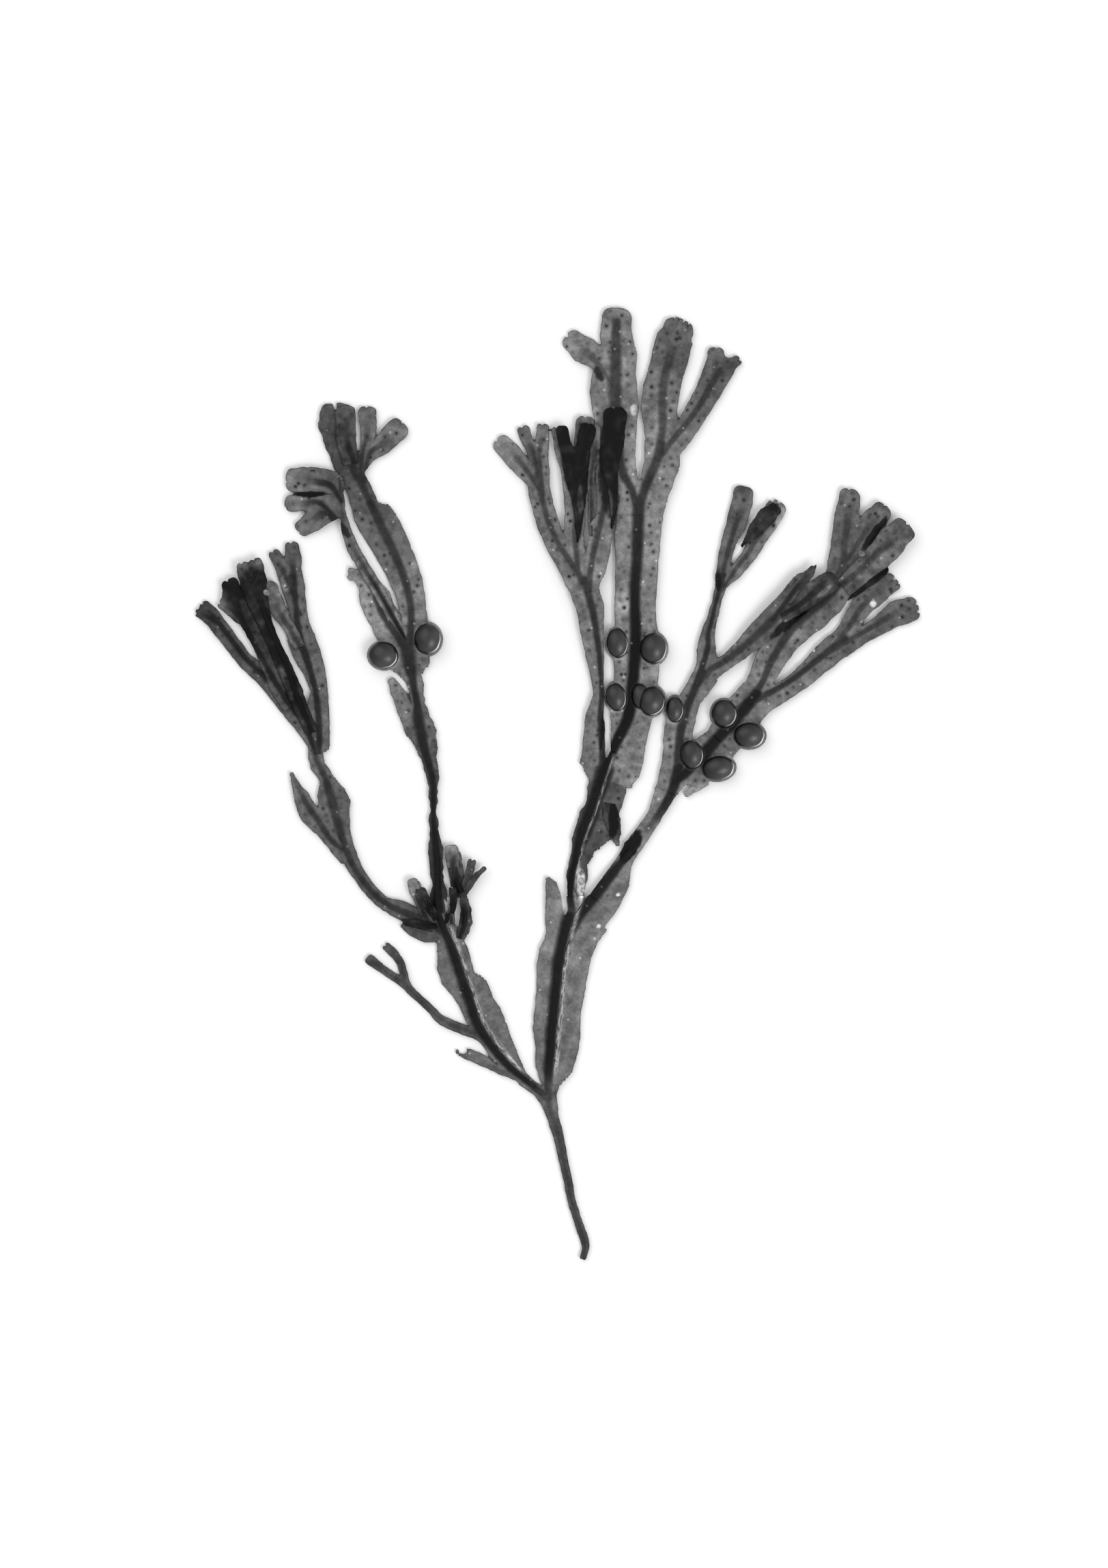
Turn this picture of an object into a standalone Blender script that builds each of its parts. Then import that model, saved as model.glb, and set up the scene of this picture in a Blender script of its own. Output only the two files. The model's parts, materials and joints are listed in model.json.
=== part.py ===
# Bladder wrack: one cut frond, lying flat with its stem towards -Y and its tips towards +Y.
import math

import bmesh
import bpy
from mathutils import Vector

# Driving sizes, in metres
FROND_LENGTH = 0.306
BLADE_THICKNESS = 0.0010
EDGE_THICKNESS = 0.0006
RIB_HEIGHT_BASE = 0.0016
RIB_HEIGHT_TIP = 0.0004
RIB_HALF_WIDTH = 0.0013
SHOULDER_RIB = 0.0010       # a midrib taller than this has a shoulder on each side
NODE_GAP = 0.0003           # between two stretches of the one growth
STEP = 0.00002              # keeps blades that share a height from meeting in one plane
MILLIMETRE = 0.001

# Shares of a size
RIB_SHARE = 0.45            # of a narrow blade's reach, the most that a midrib takes
BLADDER_DEPTH = 0.74        # of a bladder's smaller half width, its half height
TIP_ROUNDING = ((0.55, 0.82), (0.92, 0.4))  # how far past the last row, and how wide there

# How finely the shapes are cut
SPHERE_SIDES = 12
SPHERE_RINGS = 6
FLAT_ANGLES = (math.radians(1.2), math.radians(0.4), math.radians(0.1))
SHARP_ANGLE = math.radians(35)

# Finish
SHADES = {"stem": (0.045, 0.045, 0.045), "blade": (0.16, 0.16, 0.16)}
STEM_NODES = ("stipe", "side_sprig", "crown_tuft", "inner_left_arm")
ROUGHNESS = 0.42

# The photograph's own pixels: the frond's two ends and the point under the lowest fork
TOP_ROW = 452
CUT_ROW = 1846
ORIGIN = (806, 1604)
PIXEL = FROND_LENGTH / (CUT_ROW - TOP_ROW)

# Each blade runs from its base to its tip. The two heights are those of its underside at
# base and tip, in millimetres. A row is the midrib's x and y and how far the blade
# reaches to its left and right, all in the photograph's pixels.
STEM = {
    "stem": (0, 0, [(854, 1843, 4, 4), (857, 1822, 5, 6), (851, 1800, 6, 6), (838, 1760, 6, 6),
                    (830, 1720, 6, 6), (822, 1680, 7, 7), (816, 1655, 8, 8), (808, 1630, 9, 9),
                    (804, 1608, 10, 11), (804, 1594, 9, 12)]),
}
RIGHT_BRANCH = {
    "right_wing": (0, 0, [(806, 1622, 9, 9), (804, 1604, 10, 11), (803, 1588, 9, 17),
                          (805, 1565, 21, 34), (808, 1540, 24, 38), (810, 1510, 29, 41),
                          (813, 1480, 30, 38), (816, 1450, 30, 40), (819, 1420, 33, 43),
                          (823, 1395, 33, 44), (828, 1370, 28, 48), (835, 1345, 32, 56)]),
    "upright_flap": (0, 0.5, [(818, 1362, 14, 12), (814, 1332, 12, 11), (810, 1310, 9, 9),
                              (805, 1294, 5, 6)]),
    "middle_arm": (0, 0, [(831, 1358, 12, 12), (838, 1335, 7, 16), (836, 1312, 6, 20),
                          (838, 1285, 8, 22), (843, 1262, 9, 17), (848, 1240, 10, 25),
                          (856, 1215, 13, 42), (864, 1195, 15, 42), (871, 1175, 12, 38),
                          (879, 1150, 18, 38), (886, 1128, 30, 34)]),
    "right_arm": (0, 0.3, [(836, 1352, 10, 44), (852, 1332, 7, 42), (868, 1314, 7, 40),
                           (883, 1296, 7, 37), (898, 1277, 8, 30), (912, 1260, 9, 15),
                           (926, 1243, 13, 12), (941, 1223, 13, 11), (957, 1204, 14, 8),
                           (971, 1184, 20, 6), (983, 1162, 25, 8), (990, 1142, 26, 16),
                           (994, 1124, 25, 18)]),
}
MIDDLE = {
    "torn_fold": (0.4, 0.4, [(896, 1176, 6, 14), (897, 1200, 12, 12), (901, 1222, 8, 8),
                             (904, 1236, 3, 3)]),
    "fan_arm": (0, 2.2, [(880, 1142, 18, 6), (882, 1118, 33, 4), (882, 1096, 29, 4), (880, 1070, 25, 7),
                         (879, 1045, 20, 5), (881, 1018, 12, 4), (880, 990, 15, 4), (878, 960, 20, 6),
                         (873, 925, 23, 11), (868, 895, 23, 18), (861, 868, 25, 18),
                         (856, 850, 28, 24)]),
    "tall_blade": (0, 1.2, [(882, 1140, 8, 44), (889, 1120, 4, 50), (897, 1100, 3, 49),
                            (906, 1080, 13, 43), (916, 1060, 24, 36), (923, 1038, 30, 34),
                            (926, 1010, 28, 38), (928, 985, 29, 36), (930, 955, 32, 36),
                            (931, 925, 31, 33), (930, 895, 29, 30), (930, 860, 29, 32),
                            (933, 820, 32, 31), (934, 785, 34, 34), (935, 755, 33, 36),
                            (936, 732, 30, 40)]),
}
CENTRE_FAN = {
    "fan_left": (2.2, 0.6, [(855, 853, 20, 12), (847, 841, 24, 12), (833, 820, 20, 14),
                            (818, 797, 18, 12), (806, 770, 19, 14), (797, 742, 17, 14),
                            (790, 715, 17, 16), (787, 695, 16, 18)]),
    "fan_left_outer": (0.8, 0, [(792, 716, 10, 6), (772, 690, 15, 11), (753, 667, 17, 14),
                                (739, 653, 15, 14)]),
    "fan_left_mid": (0.8, 0.3, [(788, 700, 12, 8), (783, 668, 10, 8), (773, 646, 9, 8),
                                (768, 633, 9, 9)]),
    "fan_left_inner": (0.8, 0.3, [(789, 700, 8, 14), (790, 665, 8, 14), (794, 642, 10, 11),
                                  (795, 629, 9, 9)]),
    "fan_middle": (2.2, 1.2, [(854, 852, 14, 14), (845, 822, 14, 14), (842, 785, 16, 14),
                              (843, 745, 16, 14), (842, 710, 18, 18), (840, 685, 18, 20)]),
    "fan_middle_outer": (1.4, 0.8, [(838, 700, 12, 10), (824, 664, 10, 10), (818, 634, 10, 10)]),
    "fan_middle_inner": (1.4, 0.8, [(845, 700, 12, 14), (853, 656, 13, 14), (857, 624, 14, 14)]),
    "fan_right": (2.2, 2.4, [(860, 852, 8, 18), (865, 835, 10, 22), (870, 805, 11, 24),
                             (876, 775, 12, 21)]),
    "fan_right_outer": (2.4, 2.0, [(870, 785, 8, 6), (866, 740, 5, 4), (866, 700, 5, 4),
                                   (871, 662, 8, 8), (871, 630, 9, 9)]),
    "fan_right_inner": (2.4, 2.6, [(878, 782, 8, 18), (884, 745, 11, 17), (887, 705, 15, 16),
                                   (888, 672, 15, 14)]),
    "folded_tip_left": (3.0, 2.4, [(850, 775, 5, 5), (848, 735, 10, 10), (843, 697, 17, 17),
                                   (829, 655, 9, 9), (824, 634, 9, 9)]),
    "folded_tip_middle": (3.0, 2.4, [(845, 705, 12, 12), (852, 662, 10, 12), (860, 634, 13, 12)]),
    "folded_tip_right": (3.2, 3.2, [(898, 750, 5, 4), (899, 715, 9, 6), (896, 685, 16, 10),
                                    (897, 655, 16, 16), (900, 632, 18, 15), (901, 615, 18, 17)]),
}
TALL_TIPS = {
    "tall_left": (1.2, 0.4, [(936, 742, 18, 10), (926, 720, 20, 12), (914, 697, 20, 20),
                             (907, 670, 22, 24), (904, 640, 28, 27), (902, 605, 33, 33),
                             (901, 575, 38, 33), (901, 548, 34, 30), (902, 520, 23, 31),
                             (902, 495, 23, 25), (903, 473, 22, 22)]),
    "tall_side_lobe": (0.6, 0, [(894, 552, 10, 10), (875, 532, 12, 22), (856, 515, 19, 22),
                                (841, 502, 15, 16)]),
    "tall_right": (1.2, 0.6, [(936, 742, 8, 28), (943, 720, 10, 36), (952, 698, 13, 36),
                              (962, 675, 19, 34), (968, 652, 24, 30)]),
    "tall_right_inner": (0.7, 0.2, [(966, 662, 20, 16), (970, 630, 27, 22), (970, 600, 31, 22),
                                    (971, 573, 30, 25), (975, 548, 26, 26), (981, 522, 26, 28),
                                    (987, 497, 26, 28), (990, 488, 21, 24)]),
    "tall_right_outer": (0.7, 0.2, [(966, 668, 8, 20), (985, 645, 12, 22), (1005, 621, 13, 20),
                                    (1022, 598, 17, 18), (1036, 574, 18, 20), (1048, 553, 22, 20),
                                    (1054, 543, 22, 20)]),
    "tall_outer_tooth_left": (0.3, 0.1, [(1050, 552, 16, 14), (1048, 532, 15, 14),
                                         (1048, 521, 12, 12)]),
    "tall_outer_tooth_right": (0.3, 0.1, [(1052, 552, 12, 12), (1066, 538, 12, 11), (1077, 530, 8, 8)]),
}
LEFT_BRANCH = {
    "left_wing": (0, 0, [(808, 1628, 8, 8), (799, 1606, 13, 8), (782, 1591, 10, 8), (765, 1577, 10, 10),
                         (748, 1562, 12, 18), (733, 1545, 13, 25), (720, 1528, 13, 31),
                         (708, 1510, 14, 37), (698, 1490, 15, 37), (691, 1468, 19, 32),
                         (684, 1446, 26, 31), (678, 1430, 32, 18), (670, 1405, 31, 20),
                         (662, 1384, 24, 20), (654, 1366, 16, 20), (646, 1346, 14, 14)]),
    "lower_flap": (0, 0, [(754, 1575, 5, 5), (731, 1565, 7, 5), (712, 1556, 8, 8), (697, 1548, 9, 9),
                          (684, 1544, 7, 8), (671, 1540, 4, 3)]),
    "sprig": (0, 0, [(712, 1520, 8, 8), (698, 1513, 9, 9), (684, 1509, 8, 7), (662, 1500, 8, 7),
                     (644, 1490, 7, 6), (625, 1472, 6, 6), (606, 1455, 6, 6), (592, 1440, 7, 7),
                     (575, 1429, 6, 6), (558, 1417, 7, 6), (544, 1407, 7, 8)]),
    "sprig_upper": (0, 0, [(596, 1446, 5, 5), (592, 1428, 5, 5), (586, 1408, 6, 6), (575, 1394, 7, 7),
                           (568, 1387, 6, 6)]),
}
CROWN = {
    "crown_left": (0.4, 0, [(646, 1356, 10, 12), (625, 1347, 11, 12), (604, 1340, 11, 15),
                            (583, 1332, 12, 15), (562, 1320, 11, 9), (543, 1303, 10, 9),
                            (528, 1284, 9, 10), (515, 1263, 10, 12), (506, 1240, 12, 13),
                            (499, 1218, 18, 15), (493, 1198, 20, 20), (488, 1178, 22, 26),
                            (483, 1160, 18, 22), (477, 1140, 10, 12), (468, 1121, 13, 9),
                            (462, 1104, 10, 12), (465, 1088, 9, 18)]),
    "crown_up": (0.4, 0, [(650, 1362, 12, 12), (643, 1335, 14, 14), (641, 1305, 9, 13),
                          (641, 1280, 10, 9), (640, 1258, 11, 10), (638, 1235, 9, 8), (636, 1212, 7, 6),
                          (635, 1190, 5, 5), (635, 1165, 6, 6), (634, 1145, 7, 8), (629, 1122, 8, 12),
                          (622, 1098, 11, 19), (617, 1073, 21, 22), (613, 1050, 25, 16),
                          (611, 1030, 9, 13), (607, 1010, 8, 12), (604, 992, 15, 14),
                          (601, 975, 27, 29), (598, 956, 33, 30), (596, 940, 30, 26)]),
    "stalk": (0.2, 1.2, [(669, 1370, 8, 9), (679, 1345, 9, 13), (679, 1324, 7, 8), (677, 1306, 6, 5)]),
    "tuft_1": (1.0, 1.0, [(675, 1314, 5, 5), (670, 1284, 8, 10), (666, 1256, 10, 11)]),
    "tuft_2": (1.0, 1.6, [(677, 1312, 5, 4), (685, 1284, 5, 6), (691, 1264, 6, 6)]),
    "tuft_3": (1.2, 2.2, [(679, 1312, 4, 4), (695, 1286, 5, 5), (709, 1272, 3, 3)]),
    "tuft_4": (1.0, 1.2, [(636, 1352, 6, 6), (620, 1325, 7, 7), (608, 1299, 9, 10)]),
    "tuft_5": (1.4, 2.0, [(640, 1346, 6, 6), (624, 1318, 8, 7), (618, 1307, 8, 8)]),
    "tuft_6": (0.6, 1.8, [(652, 1352, 6, 6), (664, 1325, 5, 5), (664, 1304, 6, 5)]),
    "low_skirt": (0.2, 0, [(654, 1374, 6, 5), (625, 1369, 11, 7), (604, 1362, 8, 6),
                           (590, 1356, 4, 3)]),
}
OUTER_LEFT = {
    "left_flap": (0, 0.4, [(508, 1260, 9, 6), (486, 1231, 11, 12), (469, 1205, 17, 12),
                           (454, 1184, 19, 10), (444, 1165, 14, 8), (434, 1147, 7, 5),
                           (428, 1134, 3, 3)]),
    "left_fan_right": (0, 0.2, [(469, 1099, 10, 14), (468, 1068, 16, 15), (466, 1040, 18, 16),
                                (462, 1010, 8, 18), (455, 983, 12, 22), (447, 958, 18, 23),
                                (440, 935, 19, 22), (436, 912, 14, 17), (434, 888, 12, 15),
                                (430, 862, 16, 17), (426, 845, 17, 18)]),
    "left_fan_tip_1": (0.2, 0, [(424, 856, 12, 10), (412, 831, 9, 9), (403, 814, 8, 9)]),
    "left_fan_tip_2": (0.2, 0, [(427, 852, 12, 14), (429, 818, 11, 13), (428, 803, 10, 10)]),
    "left_fan_inner": (0.8, 1.2, [(440, 948, 10, 8), (424, 920, 14, 10), (409, 894, 16, 12),
                                  (396, 866, 14, 14)]),
    "left_fan_low": (0, 0.2, [(464, 1096, 9, 9), (449, 1066, 14, 16), (432, 1040, 18, 18),
                              (411, 1013, 18, 16), (386, 989, 14, 14), (362, 966, 14, 12),
                              (343, 942, 14, 12), (325, 918, 15, 12), (312, 902, 13, 12)]),
    "left_fan_low_tip_1": (0.2, 0, [(318, 914, 10, 8), (305, 903, 10, 8), (292, 899, 6, 6)]),
    "left_fan_low_tip_2": (0.2, 0, [(316, 910, 8, 10), (306, 894, 9, 9), (302, 889, 8, 8)]),
    "left_fan_mid": (0.6, 1.6, [(428, 1036, 14, 14), (408, 1006, 16, 16), (391, 976, 16, 16),
                                (376, 948, 14, 16), (362, 922, 15, 18), (350, 896, 18, 18),
                                (343, 872, 17, 16), (338, 860, 12, 14)]),
    "left_fan_mid_tip": (1.4, 0.8, [(354, 908, 12, 8), (341, 894, 12, 9), (329, 886, 9, 8)]),
    "left_fan_high": (1.2, 2.2, [(458, 1072, 10, 8), (444, 1040, 12, 9), (432, 1008, 14, 11),
                                 (420, 975, 15, 11), (407, 943, 15, 12), (394, 912, 16, 14),
                                 (383, 883, 18, 18), (373, 858, 20, 20), (369, 846, 18, 20)]),
    "left_fan_high_tip_1": (2.2, 2.2, [(370, 852, 14, 8), (359, 838, 10, 9), (357, 832, 9, 9)]),
    "left_fan_high_tip_2": (2.2, 2.2, [(372, 852, 8, 14), (377, 834, 10, 10), (376, 828, 10, 10)]),
}
INNER_LEFT = {
    "slit_flap": (0.2, 0.4, [(604, 1062, 12, 8), (592, 1036, 11, 12), (583, 1014, 10, 10),
                             (575, 999, 6, 6)]),
    "torn_blade": (0, 0.2, [(599, 958, 24, 8), (586, 937, 30, 12), (571, 915, 26, 18),
                            (559, 894, 24, 20), (551, 874, 24, 20), (542, 856, 20, 12),
                            (529, 843, 14, 8), (519, 840, 11, 7)]),
    "curled_arm": (0, 2.4, [(578, 900, 8, 8), (567, 880, 7, 11), (551, 857, 9, 9), (538, 839, 9, 9),
                            (526, 818, 9, 9), (515, 797, 9, 9), (508, 777, 7, 7), (503, 757, 4, 5),
                            (501, 735, 5, 4), (499, 712, 6, 3), (498, 702, 5, 3)]),
    "curl_top": (2.2, 0.6, [(503, 722, 8, 8), (485, 710, 12, 19), (463, 705, 16, 18),
                            (444, 704, 18, 19), (434, 704, 15, 16)]),
    "curl_middle": (2.2, 0.4, [(503, 738, 9, 8), (470, 738, 9, 9), (446, 738, 11, 13),
                               (428, 738, 13, 13)]),
    "curl_low": (2.2, 0.2, [(503, 742, 12, 6), (479, 755, 13, 8), (459, 765, 15, 10),
                            (445, 774, 12, 12)]),
    "broad_blade": (0, 0.2, [(598, 960, 8, 26), (600, 940, 10, 26), (602, 918, 13, 26),
                             (602, 893, 17, 22), (598, 867, 20, 24), (590, 841, 23, 26),
                             (580, 815, 26, 26), (568, 790, 28, 28), (556, 765, 32, 28),
                             (545, 742, 31, 20), (534, 718, 25, 12), (523, 698, 22, 12),
                             (516, 680, 24, 17)]),
    "broad_tip_1": (0.2, 0, [(512, 682, 20, 12), (500, 650, 21, 14), (488, 627, 19, 16),
                             (484, 616, 15, 14)]),
    "broad_tip_2": (0.4, 0.5, [(514, 680, 12, 12), (508, 645, 15, 14), (506, 610, 15, 16)]),
    "broad_tip_3": (0.2, 0, [(520, 688, 10, 14), (530, 662, 6, 10), (536, 636, 12, 12),
                             (537, 608, 14, 14)]),
    "broad_tip_4": (0.4, 0.2, [(524, 688, 8, 10), (541, 666, 8, 10), (560, 651, 12, 13),
                               (580, 632, 14, 14)]),
}
RIGHT_INNER = {
    "slim_blade": (0.3, 0.6, [(991, 1140, 25, 14), (993, 1120, 24, 16), (994, 1098, 23, 18),
                              (997, 1070, 24, 18), (1003, 1046, 24, 17), (1011, 1024, 16, 16),
                              (1020, 1003, 14, 22), (1030, 985, 14, 24)]),
    "slim_arm": (0.6, 0.2, [(1030, 990, 12, 18), (1035, 955, 15, 14), (1037, 930, 11, 10),
                            (1043, 905, 7, 8), (1049, 880, 6, 7), (1055, 860, 8, 9),
                            (1060, 842, 12, 14)]),
    "slim_tip_left": (0.2, 0, [(1058, 850, 9, 10), (1063, 820, 12, 8), (1069, 796, 13, 9),
                               (1077, 770, 14, 15), (1085, 748, 16, 11), (1088, 731, 14, 12)]),
    "slim_tip_right": (0.2, 0, [(1059, 852, 8, 10), (1078, 833, 8, 12), (1095, 811, 8, 14),
                                (1109, 789, 12, 14), (1124, 767, 18, 14), (1136, 749, 17, 13)]),
    "slim_tip_fold": (0.8, 1.4, [(1088, 796, 7, 5), (1106, 777, 11, 10), (1123, 757, 14, 11),
                                 (1131, 749, 11, 9)]),
    "dark_arm": (0.6, 3.0, [(1027, 994, 10, 12), (1042, 980, 9, 16), (1062, 968, 9, 14),
                            (1086, 950, 13, 14), (1111, 928, 18, 18), (1136, 904, 20, 20),
                            (1150, 888, 18, 16)]),
    "dark_tip_left": (2.8, 2.8, [(1140, 902, 14, 10), (1158, 872, 14, 10), (1172, 854, 13, 9),
                                 (1184, 840, 7, 7), (1190, 831, 4, 4)]),
    "dark_tip_right": (3.0, 3.6, [(1142, 900, 8, 14), (1166, 889, 9, 12), (1190, 870, 18, 16),
                                  (1212, 856, 17, 14)]),
}
RIGHT_OUTER = {
    "heel": (0.3, 0.6, [(991, 1142, 20, 10), (1010, 1126, 16, 31), (1030, 1104, 24, 40),
                        (1050, 1082, 18, 35), (1070, 1060, 24, 34), (1090, 1038, 27, 32),
                        (1108, 1016, 25, 27)]),
    "upper_blade": (0.6, 1.0, [(1100, 1026, 22, 22), (1114, 1003, 22, 16), (1127, 974, 24, 24),
                               (1143, 945, 26, 30), (1163, 918, 26, 35), (1188, 895, 26, 34),
                               (1212, 875, 28, 32), (1230, 854, 26, 28)]),
    "upper_tip_1": (1.0, 0.6, [(1228, 862, 20, 18), (1233, 830, 20, 20), (1236, 804, 16, 18),
                               (1240, 779, 15, 16), (1243, 757, 16, 15), (1246, 732, 13, 12)]),
    "upper_tip_2": (1.0, 1.0, [(1234, 850, 12, 14), (1246, 810, 12, 14), (1264, 780, 14, 16),
                               (1280, 758, 15, 18), (1287, 750, 13, 14)]),
    "upper_tip_3": (1.4, 2.8, [(1232, 860, 12, 18), (1260, 832, 14, 18), (1282, 810, 15, 22),
                               (1301, 789, 20, 24), (1316, 776, 17, 18)]),
    "lower_blade": (0.6, 0, [(1098, 1034, 8, 24), (1122, 1017, 9, 24), (1146, 1004, 10, 22),
                             (1170, 988, 14, 22), (1195, 968, 19, 22), (1218, 950, 22, 22),
                             (1238, 935, 18, 20)]),
    "lower_tip_1": (0, 0, [(1230, 944, 16, 14), (1242, 920, 14, 14), (1255, 899, 15, 15),
                           (1270, 880, 17, 17), (1288, 864, 18, 17), (1300, 856, 15, 15)]),
    "lower_tip_2": (0, 0, [(1230, 944, 12, 20), (1264, 926, 9, 16), (1290, 911, 12, 17),
                           (1312, 898, 18, 20), (1328, 893, 17, 19)]),
    "lower_tip_fold": (0, 0, [(1262, 874, 9, 9), (1275, 852, 11, 12), (1287, 840, 12, 12)]),
}
BLADES = {}
for group in (STEM, RIGHT_BRANCH, MIDDLE, CENTRE_FAN, TALL_TIPS, LEFT_BRANCH, CROWN,
              OUTER_LEFT, INNER_LEFT, RIGHT_INNER, RIGHT_OUTER):
    BLADES.update(group)

# Air bladders: centre x and y, half width, half length and lean, in pixels and degrees
TALL_BLADDERS = [(904, 942, 16, 22, 5), (957, 950, 20, 23, 0), (902, 1021, 15, 21, 10),
                 (954, 1027, 19, 22, -12)]
INNER_LEFT_BLADDERS = [(562, 960, 22, 20, -10), (627, 936, 20, 23, 0)]
SLIM_BLADDERS = [(988, 1039, 13, 19, 0)]
HEEL_BLADDERS = [(1060, 1045, 19, 21, 0), (1097, 1077, 23, 19, 0)]
FORK_BLADDERS = [(1013, 1105, 17, 21, 8), (1052, 1125, 24, 18, 8)]

# Nodes: the stretch of each blade that belongs to each, as first and last row (None is the tip)
NODES = {
    "stipe": ([("stem", 0, 9), ("left_wing", 0, 2), ("right_wing", 0, 2)], []),
    "left_branch": ([("left_wing", 2, 13), ("lower_flap", 0, None), ("sprig", 0, 2)], []),
    "side_sprig": ([("sprig", 2, None), ("sprig_upper", 0, None)], []),
    "crown_tuft": ([("left_wing", 13, 15), ("crown_left", 0, 2), ("crown_up", 0, 3), ("stalk", 0, None),
                    ("tuft_1", 0, None), ("tuft_2", 0, None), ("tuft_3", 0, None), ("tuft_4", 0, None),
                    ("tuft_5", 0, None), ("tuft_6", 0, None), ("low_skirt", 0, None)], []),
    "outer_left_arm": ([("crown_left", 2, 15), ("left_flap", 0, None)], []),
    "outer_left_fan": ([("crown_left", 15, 16)] + [(name, 0, None) for name in OUTER_LEFT
                                                   if name.startswith("left_fan")], []),
    "inner_left_arm": ([("crown_up", 3, 11)], []),
    "inner_left_blade": ([("crown_up", 11, 19), ("slit_flap", 0, None), ("torn_blade", 0, None),
                          ("curled_arm", 0, 4), ("broad_blade", 0, 3)], INNER_LEFT_BLADDERS),
    "curled_fan": ([("curled_arm", 4, None), ("curl_top", 0, None), ("curl_middle", 0, None),
                    ("curl_low", 0, None)], []),
    "broad_fan": ([("broad_blade", 3, None), ("broad_tip_1", 0, None), ("broad_tip_2", 0, None),
                   ("broad_tip_3", 0, None), ("broad_tip_4", 0, None)], []),
    "right_branch": ([("right_wing", 2, 11), ("upright_flap", 0, None), ("middle_arm", 0, 2),
                      ("right_arm", 0, 2)], []),
    "middle_arm": ([("middle_arm", 2, 10), ("torn_fold", 0, None), ("fan_arm", 0, 2),
                    ("tall_blade", 0, 2)], []),
    "fan_arm": ([("fan_arm", 2, 10)], []),
    "centre_fan": ([("fan_arm", 10, 11)] + [(name, 0, None) for name in CENTRE_FAN], []),
    "tall_blade": ([("tall_blade", 2, 14)], TALL_BLADDERS),
    "tall_fork": ([("tall_blade", 14, 15), ("tall_left", 0, 2), ("tall_right", 0, 3)], []),
    "tall_left_tip": ([("tall_left", 2, None), ("tall_side_lobe", 0, None)], []),
    "tall_right_tip": ([("tall_right", 3, 4), ("tall_right_inner", 0, None), ("tall_right_outer", 0, None),
                        ("tall_outer_tooth_left", 0, None), ("tall_outer_tooth_right", 0, None)], []),
    "right_arm": ([("right_arm", 2, 10)], []),
    "right_fork": ([("right_arm", 10, 12), ("slim_blade", 0, 3), ("heel", 0, 3)], FORK_BLADDERS),
    "slim_blade": ([("slim_blade", 3, 7), ("slim_arm", 0, 2), ("dark_arm", 0, 2)], SLIM_BLADDERS),
    "slim_fan": ([("slim_arm", 2, None), ("slim_tip_left", 0, None), ("slim_tip_right", 0, None),
                  ("slim_tip_fold", 0, None)], []),
    "dark_fan": ([("dark_arm", 2, None), ("dark_tip_left", 0, None), ("dark_tip_right", 0, None)], []),
    "heel_blade": ([("heel", 3, 6), ("upper_blade", 0, 2), ("lower_blade", 0, 2)], HEEL_BLADDERS),
    "upper_right_fan": ([("upper_blade", 2, None), ("upper_tip_1", 0, None), ("upper_tip_2", 0, None),
                         ("upper_tip_3", 0, None)], []),
    "lower_right_fan": ([("lower_blade", 2, None), ("lower_tip_1", 0, None), ("lower_tip_2", 0, None),
                         ("lower_tip_fold", 0, None)], []),
}


def metres(x, y):
    """A point of the photograph as a place on the resting surface."""
    return Vector(((x - ORIGIN[0]) * PIXEL, (ORIGIN[1] - y) * PIXEL, 0.0))


def rib_height(y):
    """The midrib stands out most at the stem and fades towards the tips."""
    share = (y - TOP_ROW) / (ORIGIN[1] - TOP_ROW)
    return RIB_HEIGHT_TIP + (RIB_HEIGHT_BASE - RIB_HEIGHT_TIP) * min(max(share, 0.0), 1.0)


def sections(name):
    """Each row of a blade as its place, heading, two reaches, underside height and rib height."""
    base_height, tip_height, rows = BLADES[name]
    places = [metres(x, y) for x, y, _, _ in rows]
    travelled = [0.0]
    for before, after in zip(places, places[1:]):
        travelled.append(travelled[-1] + (after - before).length)
    made = []
    for index, (_, y, left, right) in enumerate(rows):
        behind = places[max(index - 1, 0)]
        ahead = places[min(index + 1, len(rows) - 1)]
        share = travelled[index] / travelled[-1]
        under = (base_height + (tip_height - base_height) * share) * MILLIMETRE
        made.append([places[index], (ahead - behind).normalized(), left * PIXEL, right * PIXEL, under,
                     rib_height(y)])
    return made


def rounded_end(last):
    """Two shrinking sections past the last one, which round off a tip."""
    place, heading, left, right, under, rib = last
    reach = (left + right) / 2
    return [[place + heading * reach * along, heading, left * width, right * width, under, rib * width]
            for along, width in TIP_ROUNDING]


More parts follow.
